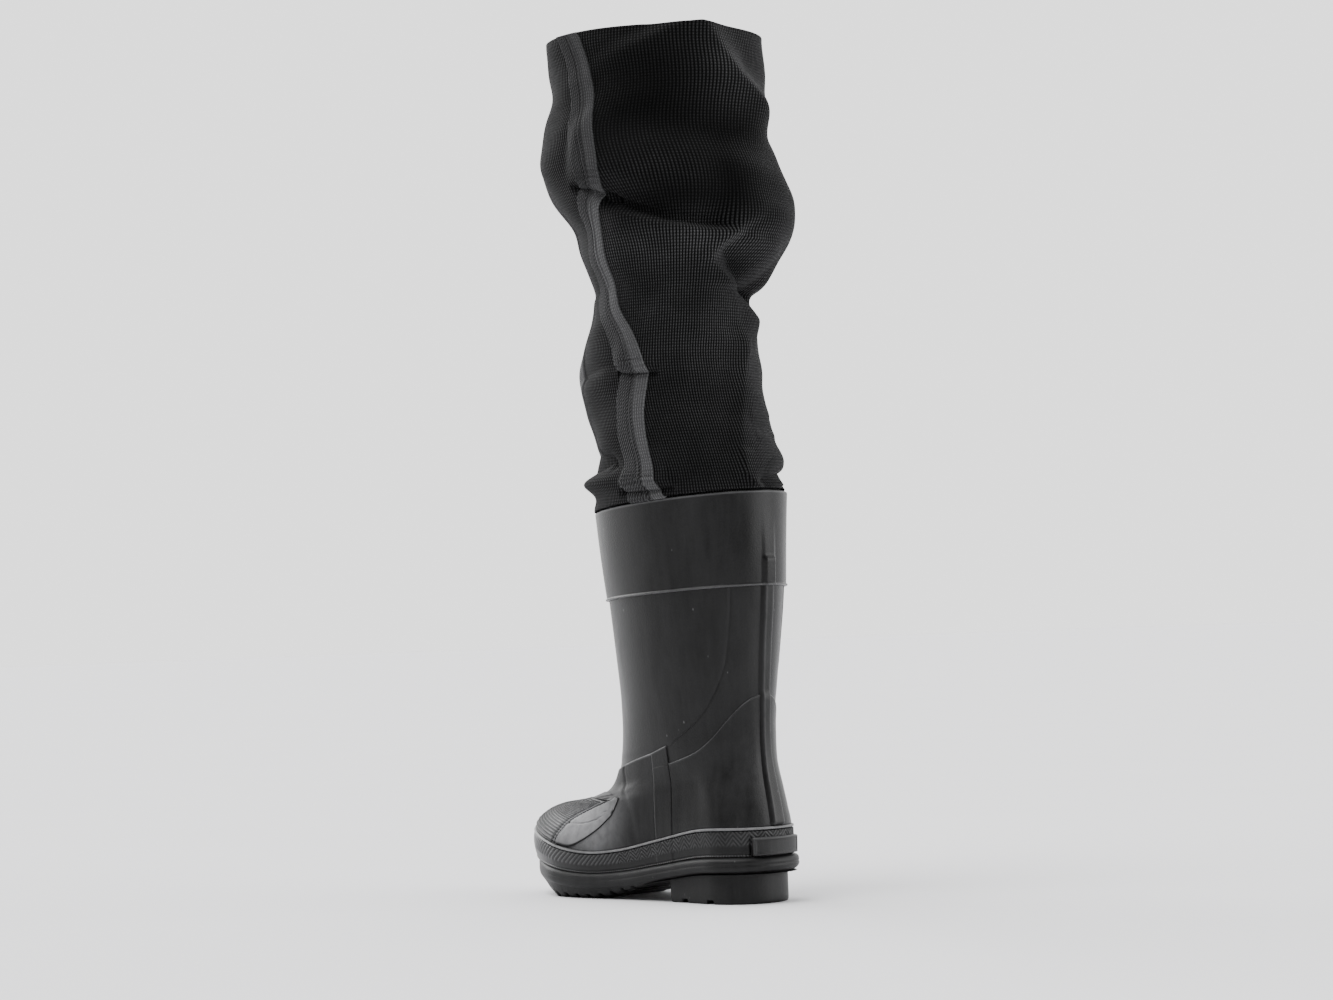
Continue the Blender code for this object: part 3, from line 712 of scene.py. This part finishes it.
def scuffs(tree, where):
    """Short pale scratches and specks, few and far between."""
    cells = add_node(tree, "ShaderNodeTexVoronoi", {"Vector": drawn_out(tree, where, 0.45), "Scale": 125.0})
    speck = ramp(tree, cells.outputs["Distance"], 0.035, 0.085, 1, 0)
    chance = ramp(tree, noise(tree, where, 47, 1), 0.55, 0.61, 0, 1)
    return times(tree, speck, chance)


def rubber_material(name, dark, light, pale, rough, gloss=0.2):
    """Satin rubber: fine grain, cloudy dust with upright streaks, scuffs, and pale grey where the points hold
    worn edges, painted highlights and painted light.
    """
    material, tree, shader, coordinates = new_material(name, Specular_IOR_Level=gloss)
    where = coordinates.outputs["Object"]
    streaks = ramp(tree, noise(tree, drawn_out(tree, where, 0.12), 150, 4, 0.6), 0.3, 0.7, -0.1, 0.1)
    cloud = math_node(tree, "ADD", noise(tree, drawn_out(tree, where, 0.4), 26, 6, 0.65), streaks)
    grain = noise(tree, where, 900, 2)
    dust_and_painted_light = tint(tree, ramp(tree, cloud, 0.3, 0.75, 0, 1), dark, light)
    broken = ramp(tree, noise(tree, where, 160, 3), 0.3, 0.62, 0.7, 1)
    # pale where the points say so: worn edges, painted highlights and painted light
    edge = times(tree, wear_and_painted_light_value(tree), broken)
    marks = math_node(tree, "MAXIMUM", edge, times(tree, scuffs(tree, where), 0.7))
    tree.links.new(paler(tree, marks, dust_and_painted_light, pale), shader.inputs["Base Color"])
    tree.links.new(ramp(tree, cloud, 0.3, 0.7, rough - 0.05, rough + 0.08), shader.inputs["Roughness"])
    bump(tree, shader, grain, 0.00018)
    return material


def knit_material(name, dark, light, pitch_across, pitch_up, depth, sheen, edge_strip=None):
    """Knitted face of the cloth: a grid of stitches with light on their crowns, made lighter and darker by
    the value at each point.

    edge_strip is the width of a bright strip along the UV map's left edge, beside one with slanted stitches.
    """
    material, tree, shader, coordinates = new_material(
        name, Roughness=0.85, Specular_IOR_Level=0.05, Sheen_Weight=sheen, Sheen_Roughness=0.4)
    shader.inputs["Sheen Tint"].default_value = (0.9, 0.9, 0.92, 1)
    parts = add_node(tree, "ShaderNodeSeparateXYZ", {"Vector": coordinates.outputs["UV"]})
    wales = wave(tree, parts.outputs["X"], pitch_across)
    courses = wave(tree, parts.outputs["Y"], pitch_up)
    stitch = times(tree, ramp(tree, wales, 0.15, 1, 0, 1), ramp(tree, courses, 0, 1, 0.3, 1))
    cloud = noise(tree, coordinates.outputs["Object"], 30, 4, 0.6)
    shade = times(tree, stitch, ramp(tree, cloud, 0.3, 0.7, 0.6, 1))
    if edge_strip:
        slanted = wave(tree, math_node(tree, "ADD", parts.outputs["X"], parts.outputs["Y"]), 0.003)
        beyond = ramp(tree, parts.outputs["X"], edge_strip - 0.0004, edge_strip + 0.0004, 0, 1)
        lines = times(tree, beyond, ramp(tree, slanted, 0, 1, 0.85, 0.25))
        between = math_node(tree, "SUBTRACT", 1.0, lines)
        shade = times(tree, ramp(tree, shade, 0, 1, 0.35, 1), between)
    # painted light and shade of the leg, and the tape's tone by height
    shade = times(tree, shade, wear_and_painted_light_value(tree))
    tree.links.new(tint(tree, shade, dark, light), shader.inputs["Base Color"])
    bump(tree, shader, stitch, depth)
    return material


def plain_cloth_material(name, dark, light, scale):
    material, tree, shader, coordinates = new_material(name, Roughness=0.9, Specular_IOR_Level=0.2)
    shade = noise(tree, coordinates.outputs["Object"], scale, 3)
    tree.links.new(tint(tree, shade, dark, light), shader.inputs["Base Color"])
    bump(tree, shader, shade, 0.0003)
    return material


# Rubbers: dark grey, dusty grey, pale grey of worn edges and painted light, roughness and gloss
boot_rubber = rubber_material("boot_rubber", 0.001, 0.011, 0.1, 0.36)
foot_rubber = rubber_material("foot_rubber", 0.008, 0.022, 0.28, 0.52, gloss=0.11)
trim_rubber = rubber_material("trim_rubber", 0.003, 0.01, 0.16, 0.42)
patch_rubber = rubber_material("patch_rubber", 0.008, 0.022, 0.1, 0.45)
sole_rubber = rubber_material("sole_rubber", 0.004, 0.014, 0.06, 0.48)
# Knits: darkest and lightest grey, pitch of the stitches across and up, their depth, and sheen
neoprene = knit_material("neoprene", 0.0005, 0.078, 0.0024, 0.0024, 0.0006, 0.06)
tape_cloth = knit_material("seam_tape", 0.003, 0.135, 0.0021, 0.0027, 0.0006, 0.06, edge_strip=0.0105)
knee_cloth = plain_cloth_material("knee_patch", 0.045, 0.085, 500)
insole_cloth = plain_cloth_material("insole_cloth", 0.05, 0.12, 700)


# Boot

def make_upper():
    """Boot wall, with the faint line where its front ply ends."""
    near = np.array([0.0012, 0.0025, 0.005, 0.012])
    near = np.concatenate([-near, [0.0], near])
    columns = np.unique(np.concatenate([np.linspace(0, 1, 181)[:-1], 0.2 + near, 0.8 + near]))
    outer_rows, inner_rows = np.linspace(0, COLLAR_ROW, 150), np.linspace(COLLAR_ROW, 0, 16)
    share, row = np.meshgrid(columns, np.concatenate([outer_rows, inner_rows]))
    inward = np.repeat([0.0, -WALL], [len(outer_rows), len(inner_rows)])[:, None]
    # columns shifted so that one on each side follows the line
    line, half = ply_line(row), mirrored(share)
    side = np.where(half < 0.2, half / 0.2 * line, line + (half - 0.2) / 0.3 * (0.5 - line))
    turn = np.where(share > 0.5, 1 - side, side)
    aside = (side - line) * BOOT_GIRTH
    ply = 0.0004 * ease(aside, 0, 0.0025) - 0.0005 * bell(aside, 0.0011)
    points = lifted(upper, turn, row, inward + ply * ease(row, 7.3, 0.2) * (inward == 0))
    builder = Builder()
    builder.grid(points, round_columns=True, round_rows=True)
    return add_piece("upper_wall", builder, boot_rubber, "upper")


def make_foxing():
    """Strip round the foot: slanted ribs, a raised lip along its top and small bumps along its foot.

    The side strips show through it, and the ribs are worn down at the waist and the toe.
    """
    turns = np.arange(1500) / 1500
    climbs = runs((0, 0.1, 7), (0.13, 0.86, 18), (0.88, FOXING_TOP, 13))
    turn, climb = np.meshgrid(turns, climbs)
    side, surface = mirrored(turn), upper(turn, climb)
    y, along = surface[..., 1], arc_lengths(surface, 1)[len(climbs) // 2]
    height = climb * FOXING_HEIGHT
    to_top = FOXING_TOP * FOXING_HEIGHT - height
    strip = ease(y, STRIP_BACK - 0.001, 0.002) * ease(y, STRIP_FRONT + 0.001, -0.002)
    lip = 0.001 * ease(climb, 0.905, 0.02) * rounded(to_top, 0.0012)
    under_lip = 0.0007 * bell(climb - 0.893, 0.013)
    zigzag = (np.abs(along / CHEVRON_BLOCK % 2 - 1) * CHEVRON_BLOCK - 0.8 * height) / CHEVRON_PITCH
    slanted = (np.where(turn < 0.5, along, -along) + 0.9 * height) / SLANT_PITCH
    ribs = repeat(np.where(side > 0.25, slanted, zigzag), 1)
    ribs *= ease(climb, 0.34, 0.1) * ease(climb, 0.89, -0.04)
    ribs *= (1 - 0.55 * bell(side - 0.105, 0.045)) * (1 - ease(side, 0.36, 0.05))
    bumps = repeat(along, KNURL_PITCH) * bell(height - 0.0012, 0.0007)
    over_bumps = 0.0005 * bell(height - 0.0022, 0.0005)
    toe_bulge = 0.003 * bell(side - 0.5, 0.13) * np.sin(np.pi * np.clip(climb, 0, 1))
    patch_gap = 0.0018 * bell((side - 0.0522) * BOOT_GIRTH, 0.0009) * (1 - ease(climb, 0.66, 0.05))
    out = FOXING_LIFT * rounded(height, 0.0008) * rounded(to_top + 0.0001, 0.001) + lip - under_lip
    out += 0.0005 * strip + CHEVRON_HEIGHT * (ribs - 0.5) + 0.0004 * bumps - over_bumps
    out += toe_bulge - patch_gap
    # pale lip, rib crests and bumps: painted highlights and wear; paler towards the toe: painted light
    worn_and_painted_highlights = 0.9 * ease(climb, 0.9, 0.02) * ease(climb, 1.04, -0.03) + 0.32 * ribs + 0.25 * bumps
    worn_and_painted_highlights += 0.45 * bell(side - 0.41, 0.075)
    inner_rows = np.linspace(FOXING_TOP, 0.0, 4)
    inner = np.zeros((len(inner_rows), len(turns)))
    builder = hoop(upper, turns, np.concatenate([climbs, inner_rows]), np.concatenate([out, inner - SINK]),
                   np.concatenate([worn_and_painted_highlights, inner]))
    return add_piece("foxing_strip", builder, trim_rubber, "foxing")


def make_heel_patch():
    """Bare raised patch on the foxing at the heel, with a plain rim."""
    def rim(place):
        return -0.0005 * ease(place.edge, 0.0018, 0.0008)

    # pale edges, palest along the top: painted highlight and wear
    builder = overlay(Builder(), upper, level(-0.05), level(0.05), level(0.04), level(0.64), 110, 40,
                      PATCH_LIFT, rim, foot=FOXING_LIFT - SINK, worn_and_painted_highlights=(0.3, 0.3, 0.2, 0.6))
    return add_piece("heel_patch_panel", builder, patch_rubber, "heel_patch")


def make_counter():
    """Heel overlay, paler towards the sole with painted light, and with a painted highlight along its top
    edge.
    """
    # painted light over the counter's lower back
    def dust_and_painted_light(place):
        return 0.16 * bell(place.turn - 0.035, 0.075) * bell(place.row - 4.5, 2.8)

    builder = overlay(Builder(), upper, lambda row: -strip_back(row), strip_back, level(1.0), counter_top,
                      120, 76, COUNTER_LIFT, worn_and_painted_highlights=(0, 0, 0, 0.45), painted_light_and_dust=dust_and_painted_light)
    return add_piece("counter_overlay", builder, boot_rubber, "counter")


def make_vamp():
    """Overlay over the instep with a soft line down its side, lower where the toe cap covers it."""
    def line(place):
        aside = (place.side - vamp_line(place.row)) * FOOT_GIRTH
        covered = ease(place.side, 0.3, 0.015) * ease(place.row, 4.6, -0.3)
        return -0.0006 * bell(aside, 0.0014) + 0.0004 * ease(aside, 0, 0.004) - 0.0004 - 0.001 * covered

    # paler patch low on the vamp beside the toe cap
    def dust_and_painted_light(place):
        return 0.45 * bell(place.side - 0.285, 0.03) * bell(place.row - 2.2, 1.8)

    # pale top edge: painted highlight and wear
    builder = overlay(Builder(), upper, strip_front, opposite(strip_front), level(1.0), vamp_top, 170, 110,
                      VAMP_LIFT, line, worn_and_painted_highlights=(0, 0, 0, 0.55), painted_light_and_dust=dust_and_painted_light)
    return add_piece("vamp_overlay", builder, foot_rubber, "vamp")


def make_toe_cap():
    """Toe cap with a curved line, and a ribbed field between two cords let into it."""
    def line(place):
        above = (place.row - cap_line(place.side)) * 0.014
        on_line = ease(place.side, 0.279, 0.003) * ease(place.side, 0.342, -0.003)
        let_in = ease(place.side - field_edge(place.row), 0, 0.006) * ease(place.row, 4.9, -0.3)
        return -0.0008 * bell(above, 0.0006) * on_line - 0.0018 * let_in

    # painted reflection of the light on the toe cap, as a pale grey patch
    def dust_and_painted_light(place):
        cloud = 0.85 * bell(place.side - 0.325, 0.07) * bell(place.row - 2.6, 1.8)
        return cloud * ease(place.edge, 0.0012, 0.001)

    # the same painted reflection, paler on the ribs' crests as a painted highlight
    def rib_dust_and_painted_light(place):
        return dust_and_painted_light(place) * (0.35 + 0.65 * repeat(place.low, RIB_PITCH))

    def ribs(place):
        inside = np.minimum(np.minimum(place.left, place.right), place.high)
        grooves = 0.0016 * (bell(inside - 0.0018, 0.0007) + bell(inside - 0.0058, 0.0007))
        height = RIB_HEIGHT * (0.3 + 0.7 * ease(inside, 0.0064, 0.0006))
        return height * repeat(place.low, RIB_PITCH) - grooves - 0.0004

    builder = overlay(Builder(), upper, level(CAP_LEFT), level(1 - CAP_LEFT), cap_edge("low"),
                      cap_edge("high"), 150, 90, CAP_LIFT, line, painted_light_and_dust=dust_and_painted_light)
    overlay(builder, upper, field_edge, opposite(field_edge), level(1.04), field_top, 70, 170, FIELD_LIFT,
            ribs, foot=CAP_LIFT - SINK, painted_light_and_dust=rib_dust_and_painted_light, lines=CORD_LINES)
    return add_piece("toe_cap_overlay", builder, foot_rubber, "toe_cap")


def make_strip(side):
    """Upright lap strip; the counter's edge shows through it as a small step."""
    def step(place):
        return -0.0005 * ease(place.row, 6.5, 0.06)

    def top(share):
        return STRIP_TOP - 0.16 * (share if side == "outer" else 1 - share)

    # pale edges: painted highlights on the front edge and the top, which catch the light, and wear
    left, right, worn_and_painted_highlights = strip_back, strip_front, (0.15, 0.5, 0, 0.9)
    if side == "inner":
        left, right, worn_and_painted_highlights = opposite(strip_front), opposite(strip_back), (0.5, 0.15, 0, 0.9)
    builder = overlay(Builder(), upper, left, right, level(1.0), top, 24, 130, STRIP_LIFT, step, worn_and_painted_highlights=worn_and_painted_highlights)
    return add_piece("lap_strip_" + side, builder, boot_rubber, "side_strip_" + side)


def seam_profile(turn):
    """Height of the ridge up the back: broad flanks and a flat crown."""
    aside = np.abs(apart(turn)) * HEEL_GIRTH
    return SEAM_LIFT * (1 - ease(aside, 0.0034, 0.0042))


def make_back_seam():
    turn, row = np.meshgrid(np.linspace(-0.025, 0.025, 41), np.linspace(1.02, BAND_ROW + 0.02, 160))
    out = seam_profile(turn) * ease(row, 1.02, 0.08) - SINK
    under_counter = COUNTER_LIFT * (1 - ease(row, 8.55, 0.25))
    base, normal = upper(turn, row), normals(upper, turn, row)
    outer = base + normal * (out + under_counter * np.clip(out / SEAM_LIFT, 0, 1))[..., None]
    inner = base - normal * 2 * SINK
    uv = np.stack([arc_lengths(base, 1), arc_lengths(base, 0)], -1)
    builder = Builder()
    # pale line along the ridge's crown edges: painted highlight
    close_sheet(builder, outer, inner, uv, 0.26 * bell(np.abs(turn) * HEEL_GIRTH - 0.0034, 0.001))
    return add_piece("back_ridge", builder, boot_rubber, "back_seam")


def make_band():
    """Band round the collar: rolled lower lip, the ridge showing through, and its top turned over the rim."""
    turns = np.sort(np.concatenate([np.arange(330) / 330, (np.linspace(-0.027, 0.027, 37) + 0.0001) % 1]))
    climbs = runs((0, 0.045, 14), (0.055, 0.96, 46), (0.965, 1, 8))
    turn, climb = np.meshgrid(turns, climbs)
    height = climb * BAND_HEIGHT
    lip = 0.0011 * rounded(height, 0.0008) * (1 - ease(height, 0.0016, 0.0012))
    ridge = 0.75 - 0.5 * ease(climb, 0.3, 0.05) - 0.25 * ease(climb, 0.36, 0.5)
    dents = 0.0005 * np.sin(2 * np.pi * (3 * turn + 0.15)) * np.sin(np.pi * climb)
    lap = 0.001 * ease(turn, 0.64, 0.003) * (1 - ease(turn, 0.7, 0.05))
    out = BAND_LIFT * rounded(height + 0.0001, 0.0008) + lip + seam_profile(turn) * ridge + dents
    out += lap * np.sin(np.pi * climb) ** 0.3
    over = np.array([(1.006, 0.0014), (1.01, 0.0004), (1.01, -0.001), (1.006, -0.002), (0.99, -0.0025)])
    inner = np.linspace(0.95, 0.0, 6)
    rows = BAND_ROW + np.concatenate([climbs, over[:, 0], inner])
    lifts = np.concatenate([over[:, 1], np.full(len(inner), -SINK)])
    lifts = np.concatenate([out, np.repeat(lifts[:, None], len(turns), 1)])
    # pale lower lip and rim: painted highlights and wear
    worn_and_painted_highlights = 0.55 * (1 - ease(height, 0.0012, 0.0014)) + 0.5 * ease(climb, 0.978, 0.015)
    wear_and_painted_light = np.repeat([0.5, 0.0], [2, len(over) + len(inner) - 2])
    wear_and_painted_light = np.concatenate([worn_and_painted_highlights, np.repeat(wear_and_painted_light[:, None], len(turns), 1)])
    builder = hoop(upper, turns, rows, lifts, wear_and_painted_light)
    return add_piece("collar_band_wrap", builder, boot_rubber, "collar_band")


# Sole

def cap_ladder(builder, ring, flip):
    """Close a mirrored ring, given from the back round to the back again, with rows of faces across."""
    half = len(ring) // 2
    left, right = ring[:half + 1], np.vstack([ring[:1], ring[:half - 1:-1]])
    across = np.linspace(0, 1, 9)[None, :, None]
    points = left[:, None] + (right - left)[:, None] * across
    builder.grid(points, points[..., :2], flip=flip)


def block(rings):
    """Closed block from rings, the lowest first."""
    points = np.array(rings)
    builder = Builder()
    builder.grid(points, round_columns=True)
    cap_ladder(builder, points[0], True)
    cap_ladder(builder, points[-1], False)
    return builder


def grooved(y, starts, width, depth):
    """Depth of the grooves at y, with steep sides."""
    cut = np.zeros_like(y)
    for start in starts:
        cut = np.maximum(cut, depth * ease(abs(y - start), width / 2, -0.0006))
    return cut


def places(first, last, count, grooves, width):
    """Places along the sole, with lines at the sides of each groove."""
    steps = np.array([0.0001, -0.0003, -0.0007]) + width / 2
    edges = np.add.outer(grooves, np.concatenate([-steps, steps])).ravel()
    edges = edges[(edges > first) & (edges < last)]
    return np.unique(np.concatenate([np.linspace(first, last, count), edges]))


def make_outsole():
    """Sole with a grooved bead, an arch and lugs across the forefoot."""
    grooves = TREAD_FIRST + TREAD_PITCH * np.arange(TREAD_COUNT)
    ends = np.cos(np.linspace(np.pi, 0, 90)) * BOOT_LENGTH / 2 + HEEL_BACK + BOOT_LENGTH / 2
    y = np.unique(np.concatenate([ends, places(0.065, 0.225, 2, grooves, TREAD_GROOVE)]))
    outer = turn_at(np.clip(y, HEEL_BACK, HEEL_BACK + BOOT_LENGTH), 0.0)
    turn = np.concatenate([outer, 1 - outer[-2:0:-1]])
    y = upper(turn, 0.0)[:, 1]
    bead = np.interp(y, SOLE["y"], SOLE["bead"])
    tread = np.interp(y, SOLE["y"], SOLE["tread"])
    low = under(y)
    cut = grooved(y, grooves, TREAD_GROOVE, TREAD_DEPTH)
    edge = low + 0.45 * (seat(y) - BEAD_DEPTH - low)
    rings = [np.column_stack([plan(turn, tread - 0.0008), low + cut]),
             np.column_stack([plan(turn, tread), low + np.maximum(cut, 0.0008)]),
             np.column_stack([plan(turn, tread + 0.004), np.maximum(edge, low + cut + 0.0002)])]
    for reach, drop in reversed(list(zip(*SOLE_SIDE.values()))):
        rings.append(np.column_stack([plan(turn, reach * bead), seat(y) - drop * BEAD_DEPTH]))
    return add_piece("outsole_tread", block(rings), sole_rubber, "outsole")


def make_heel():
    """D-shaped heel block with grooves across its ground face."""
    angle = np.linspace(0, np.pi / 2, 33)
    arc_y = HEEL_BLOCK_BACK + HEEL_ROUND * (1 - np.cos(angle))
    corner = np.linspace(0, np.pi / 2, 7)
    corner_y = HEEL_BREAST - HEEL_CORNER + HEEL_CORNER * np.sin(corner)
    y = np.unique(np.concatenate([arc_y, corner_y, places(-0.0175, 0.03, 12, HEEL_GROOVES, HEEL_GROOVE)]))
    lean = np.clip(1 - (y - HEEL_BLOCK_BACK) / HEEL_ROUND, 0, 1)
    half = HEEL_HALF * np.sqrt(1 - lean ** 2)
    front = np.clip((y - HEEL_BREAST + HEEL_CORNER) / HEEL_CORNER, 0, 1)
    half = half - HEEL_CORNER * (1 - np.sqrt(1 - front ** 2))
    outline = np.column_stack([-half, y])
    outline = np.vstack([outline, [(0.0, HEEL_BREAST + 0.0015)]])
    ring = np.vstack([outline, outline[-2:0:-1] * (-1, 1)])
    middle = np.array((0.0, (HEEL_BLOCK_BACK + HEEL_BREAST) / 2))
    top = seat(ring[:, 1]) - BEAD_DEPTH - 0.0008
    cut = grooved(ring[:, 1], HEEL_GROOVES, HEEL_GROOVE, HEEL_GROOVE_DEPTH)
    sections = [(0.97, 0.0), (0.985, 0.0004), (0.996, 0.0016), (1.0, 0.0034)]
    rings = [np.column_stack([middle + (ring - middle) * size, np.maximum(cut, z)]) for size, z in sections]
    for share in (0.15, 0.4, 0.7, 1.0):
        rings.append(np.column_stack([ring, HEEL_FOOT + share * (top - HEEL_FOOT)]))
    return add_piece("heel_block", block(rings), sole_rubber, "heel")


# Leg

def make_leg():
    """Neoprene leg: folded outer face, rounded top edge and plain inner face."""
    turns = np.unique(runs((-0.14, 0.38, 191), (0.38, 0.86, 101)))[:-1]
    outer_rows = np.unique(runs((0, 1.2, 6), (1.2, 2, 11), (2, 3.2, 56), (3.2, 4.6, 41), (4.6, 5.2, 31),
                                (5.2, 8.6, 51), (8.6, 10.4, 76), (10.4, LEG_TOP_ROW, 50)))
    inner_rows = np.linspace(LEG_TOP_ROW, 0, 16)
    turn, row = np.meshgrid(turns, np.concatenate([outer_rows, inner_rows]))
    padding = CREASE_ROOM * ease(inner_rows, 2, 1.5) * ease(inner_rows, 13.2, -1)
    inward = np.concatenate([np.zeros(len(outer_rows)), -NEOPRENE - padding])
    rim = len(outer_rows)
    inward[rim - 1:rim + 1] = -0.001, 0.001 - NEOPRENE
    points = lifted(leg, turn, row, inward[:, None])
    heights = np.pad(points[..., 2], ((0, 1), (0, 1)), mode="edge")
    uv = np.stack(np.broadcast_arrays(np.append(turns, turns[0] + 1) * LEG_GIRTH, heights), -1)
    builder = Builder()
    # the value at each point of the cloth is its painted light and shade
    builder.grid(points, uv, painted_shading(turn, points[..., 2]), round_columns=True, round_rows=True)
    return add_piece("leg_cloth", builder, neoprene, "leg", sharp=120)


def make_tape():
    """Seam tape: two strips beside a raised seam, bunched up where the leg buckles."""
    def half(row):
        return TAPE_WIDTH / 2 / (2 * np.pi * ring_values(LEG_RINGS, row)["half"])

    def seam(place):
        aside = place.left - 0.42 * (place.left + place.right)
        height = leg(place.turn, place.row)[..., 2]
        bunched = sum(ease(height, at, 0.002) * ease(height, at + 0.022, -0.016) for at in TAPE_BREAKS)
        pleats = 0.001 * bunched * np.cos(2 * np.pi * height / 0.0036)
        return 0.0008 * bell(aside, 0.0011) - 0.0005 * bell(np.abs(aside) - 0.0026, 0.0007) + pleats

    # paler below the knee and darker up the thigh
    def paler_below_knee(place):
        return 0.92 - 0.42 * ease(place.row, 9.3, 0.8)

    builder = overlay(Builder(), leg, lambda row: tape_middle(row) - half(row),
                      lambda row: tape_middle(row) + half(row), level(1.6), level(LEG_TOP_ROW - 0.02),
                      34, 380, TAPE_LIFT, seam, painted_light_and_dust=paler_below_knee)
    return add_piece("seam_tape_strip", builder, tape_cloth, "seam_tape", sharp=120)


def make_knee_patch():
    """Plain patch over knee and shin, wider over the shin."""
    def border(row):
        return 0.362 + 0.023 * ease(row, 4.5, 1.5)

    builder = overlay(Builder(), leg, border, opposite(border), level(3.2), level(10.8), 64, 130, KNEE_LIFT)
    return add_piece("knee_patch_cloth", builder, knee_cloth, "knee_patch")


make_upper()
make_foxing()
make_heel_patch()
make_counter()
make_vamp()
make_toe_cap()
make_strip("outer")
make_strip("inner")
make_back_seam()
make_band()
make_outsole()
make_heel()
leg_cloth = make_leg()
make_tape()
make_knee_patch()
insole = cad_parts["insole"]
insole.data.materials.clear()
insole.data.materials.append(insole_cloth)


# Floor, light and camera
CAMERA_RIGHT = Vector((0.731, -0.682, 0.0))
CAMERA_AWAY = Vector((0.682, 0.731, 0.0))
WORLD_NEAR = 0.22
WORLD_FAR = 2.00


def make_floor():
    mesh = bpy.data.meshes.new("floor")
    bm = bmesh.new()
    bmesh.ops.create_circle(bm, cap_ends=True, segments=96, radius=30.0)
    bm.to_mesh(mesh)
    bm.free()
    material, tree, shader, coordinates = new_material("floor_paper", Roughness=0.9, Specular_IOR_Level=0.1)
    shade = noise(tree, coordinates.outputs["Object"], 3, 2)
    tree.links.new(tint(tree, shade, 0.74, 0.76), shader.inputs["Base Color"])
    mesh.materials.append(material)
    floor = add_object("floor", mesh)


def make_light(name, right, away, height, spread, power):
    """Soft light from a direction given beside, behind and above the leg as the camera sees it."""
    data = bpy.data.lights.new(name, "SUN")
    data.angle = np.radians(spread)
    data.energy = power
    lamp = add_object(name, data)
    place = CAMERA_RIGHT * right + CAMERA_AWAY * away + Vector((0, 0, height))
    lamp.location = place * 3
    lamp.rotation_euler = (-place).to_track_quat("-Z", "Y").to_euler()


def make_world():
    """Bright surroundings beyond the leg as the camera sees it, and dim ones on the camera's side."""
    world = bpy.data.worlds.new("studio")
    world.use_nodes = True
    tree = world.node_tree
    direction = add_node(tree, "ShaderNodeTexCoord").outputs["Generated"]
    away = add_node(tree, "ShaderNodeVectorMath", {0: direction, 1: CAMERA_AWAY}, operation="DOT_PRODUCT")
    strength = add_node(tree, "ShaderNodeMapRange", {
        "Value": away.outputs["Value"], "From Min": -0.55, "From Max": 0.55,
        "To Min": WORLD_NEAR, "To Max": WORLD_FAR}, interpolation_type="SMOOTHSTEP")
    tree.links.new(strength.outputs["Result"], tree.nodes["Background"].inputs["Strength"])
    tree.nodes["Background"].inputs["Color"].default_value = (1, 1, 1, 1)
    bpy.context.scene.world = world


def make_camera():
    """The photograph's viewpoint and roll, turned to face the one leg."""
    eye = Vector((-1.726, -1.845, 0.2275))
    up = Vector((0.0, -0.0523, 0.9986))
    aim = Vector((-0.02, 0.045, 0.33))
    data = bpy.data.cameras.new("camera")
    data.lens = 84.0
    data.sensor_width = 36.0
    camera = add_object("camera", data)
    back = (eye - aim).normalized()
    back = (back - up * back.dot(up)).normalized()
    right = up.cross(back).normalized()
    camera.matrix_world = Matrix.Translation(eye) @ Matrix((right, up, back)).transposed().to_4x4()
    bpy.context.scene.camera = camera


make_floor()
make_world()
make_light("left_soft", -0.7, 0.7, 0.6, 45, 2.6)
make_light("right_soft", 0.93, -0.3, 0.18, 50, 3.2)
make_light("top_soft", -0.4, -0.25, 1.00, 40, 3.0)
make_camera()
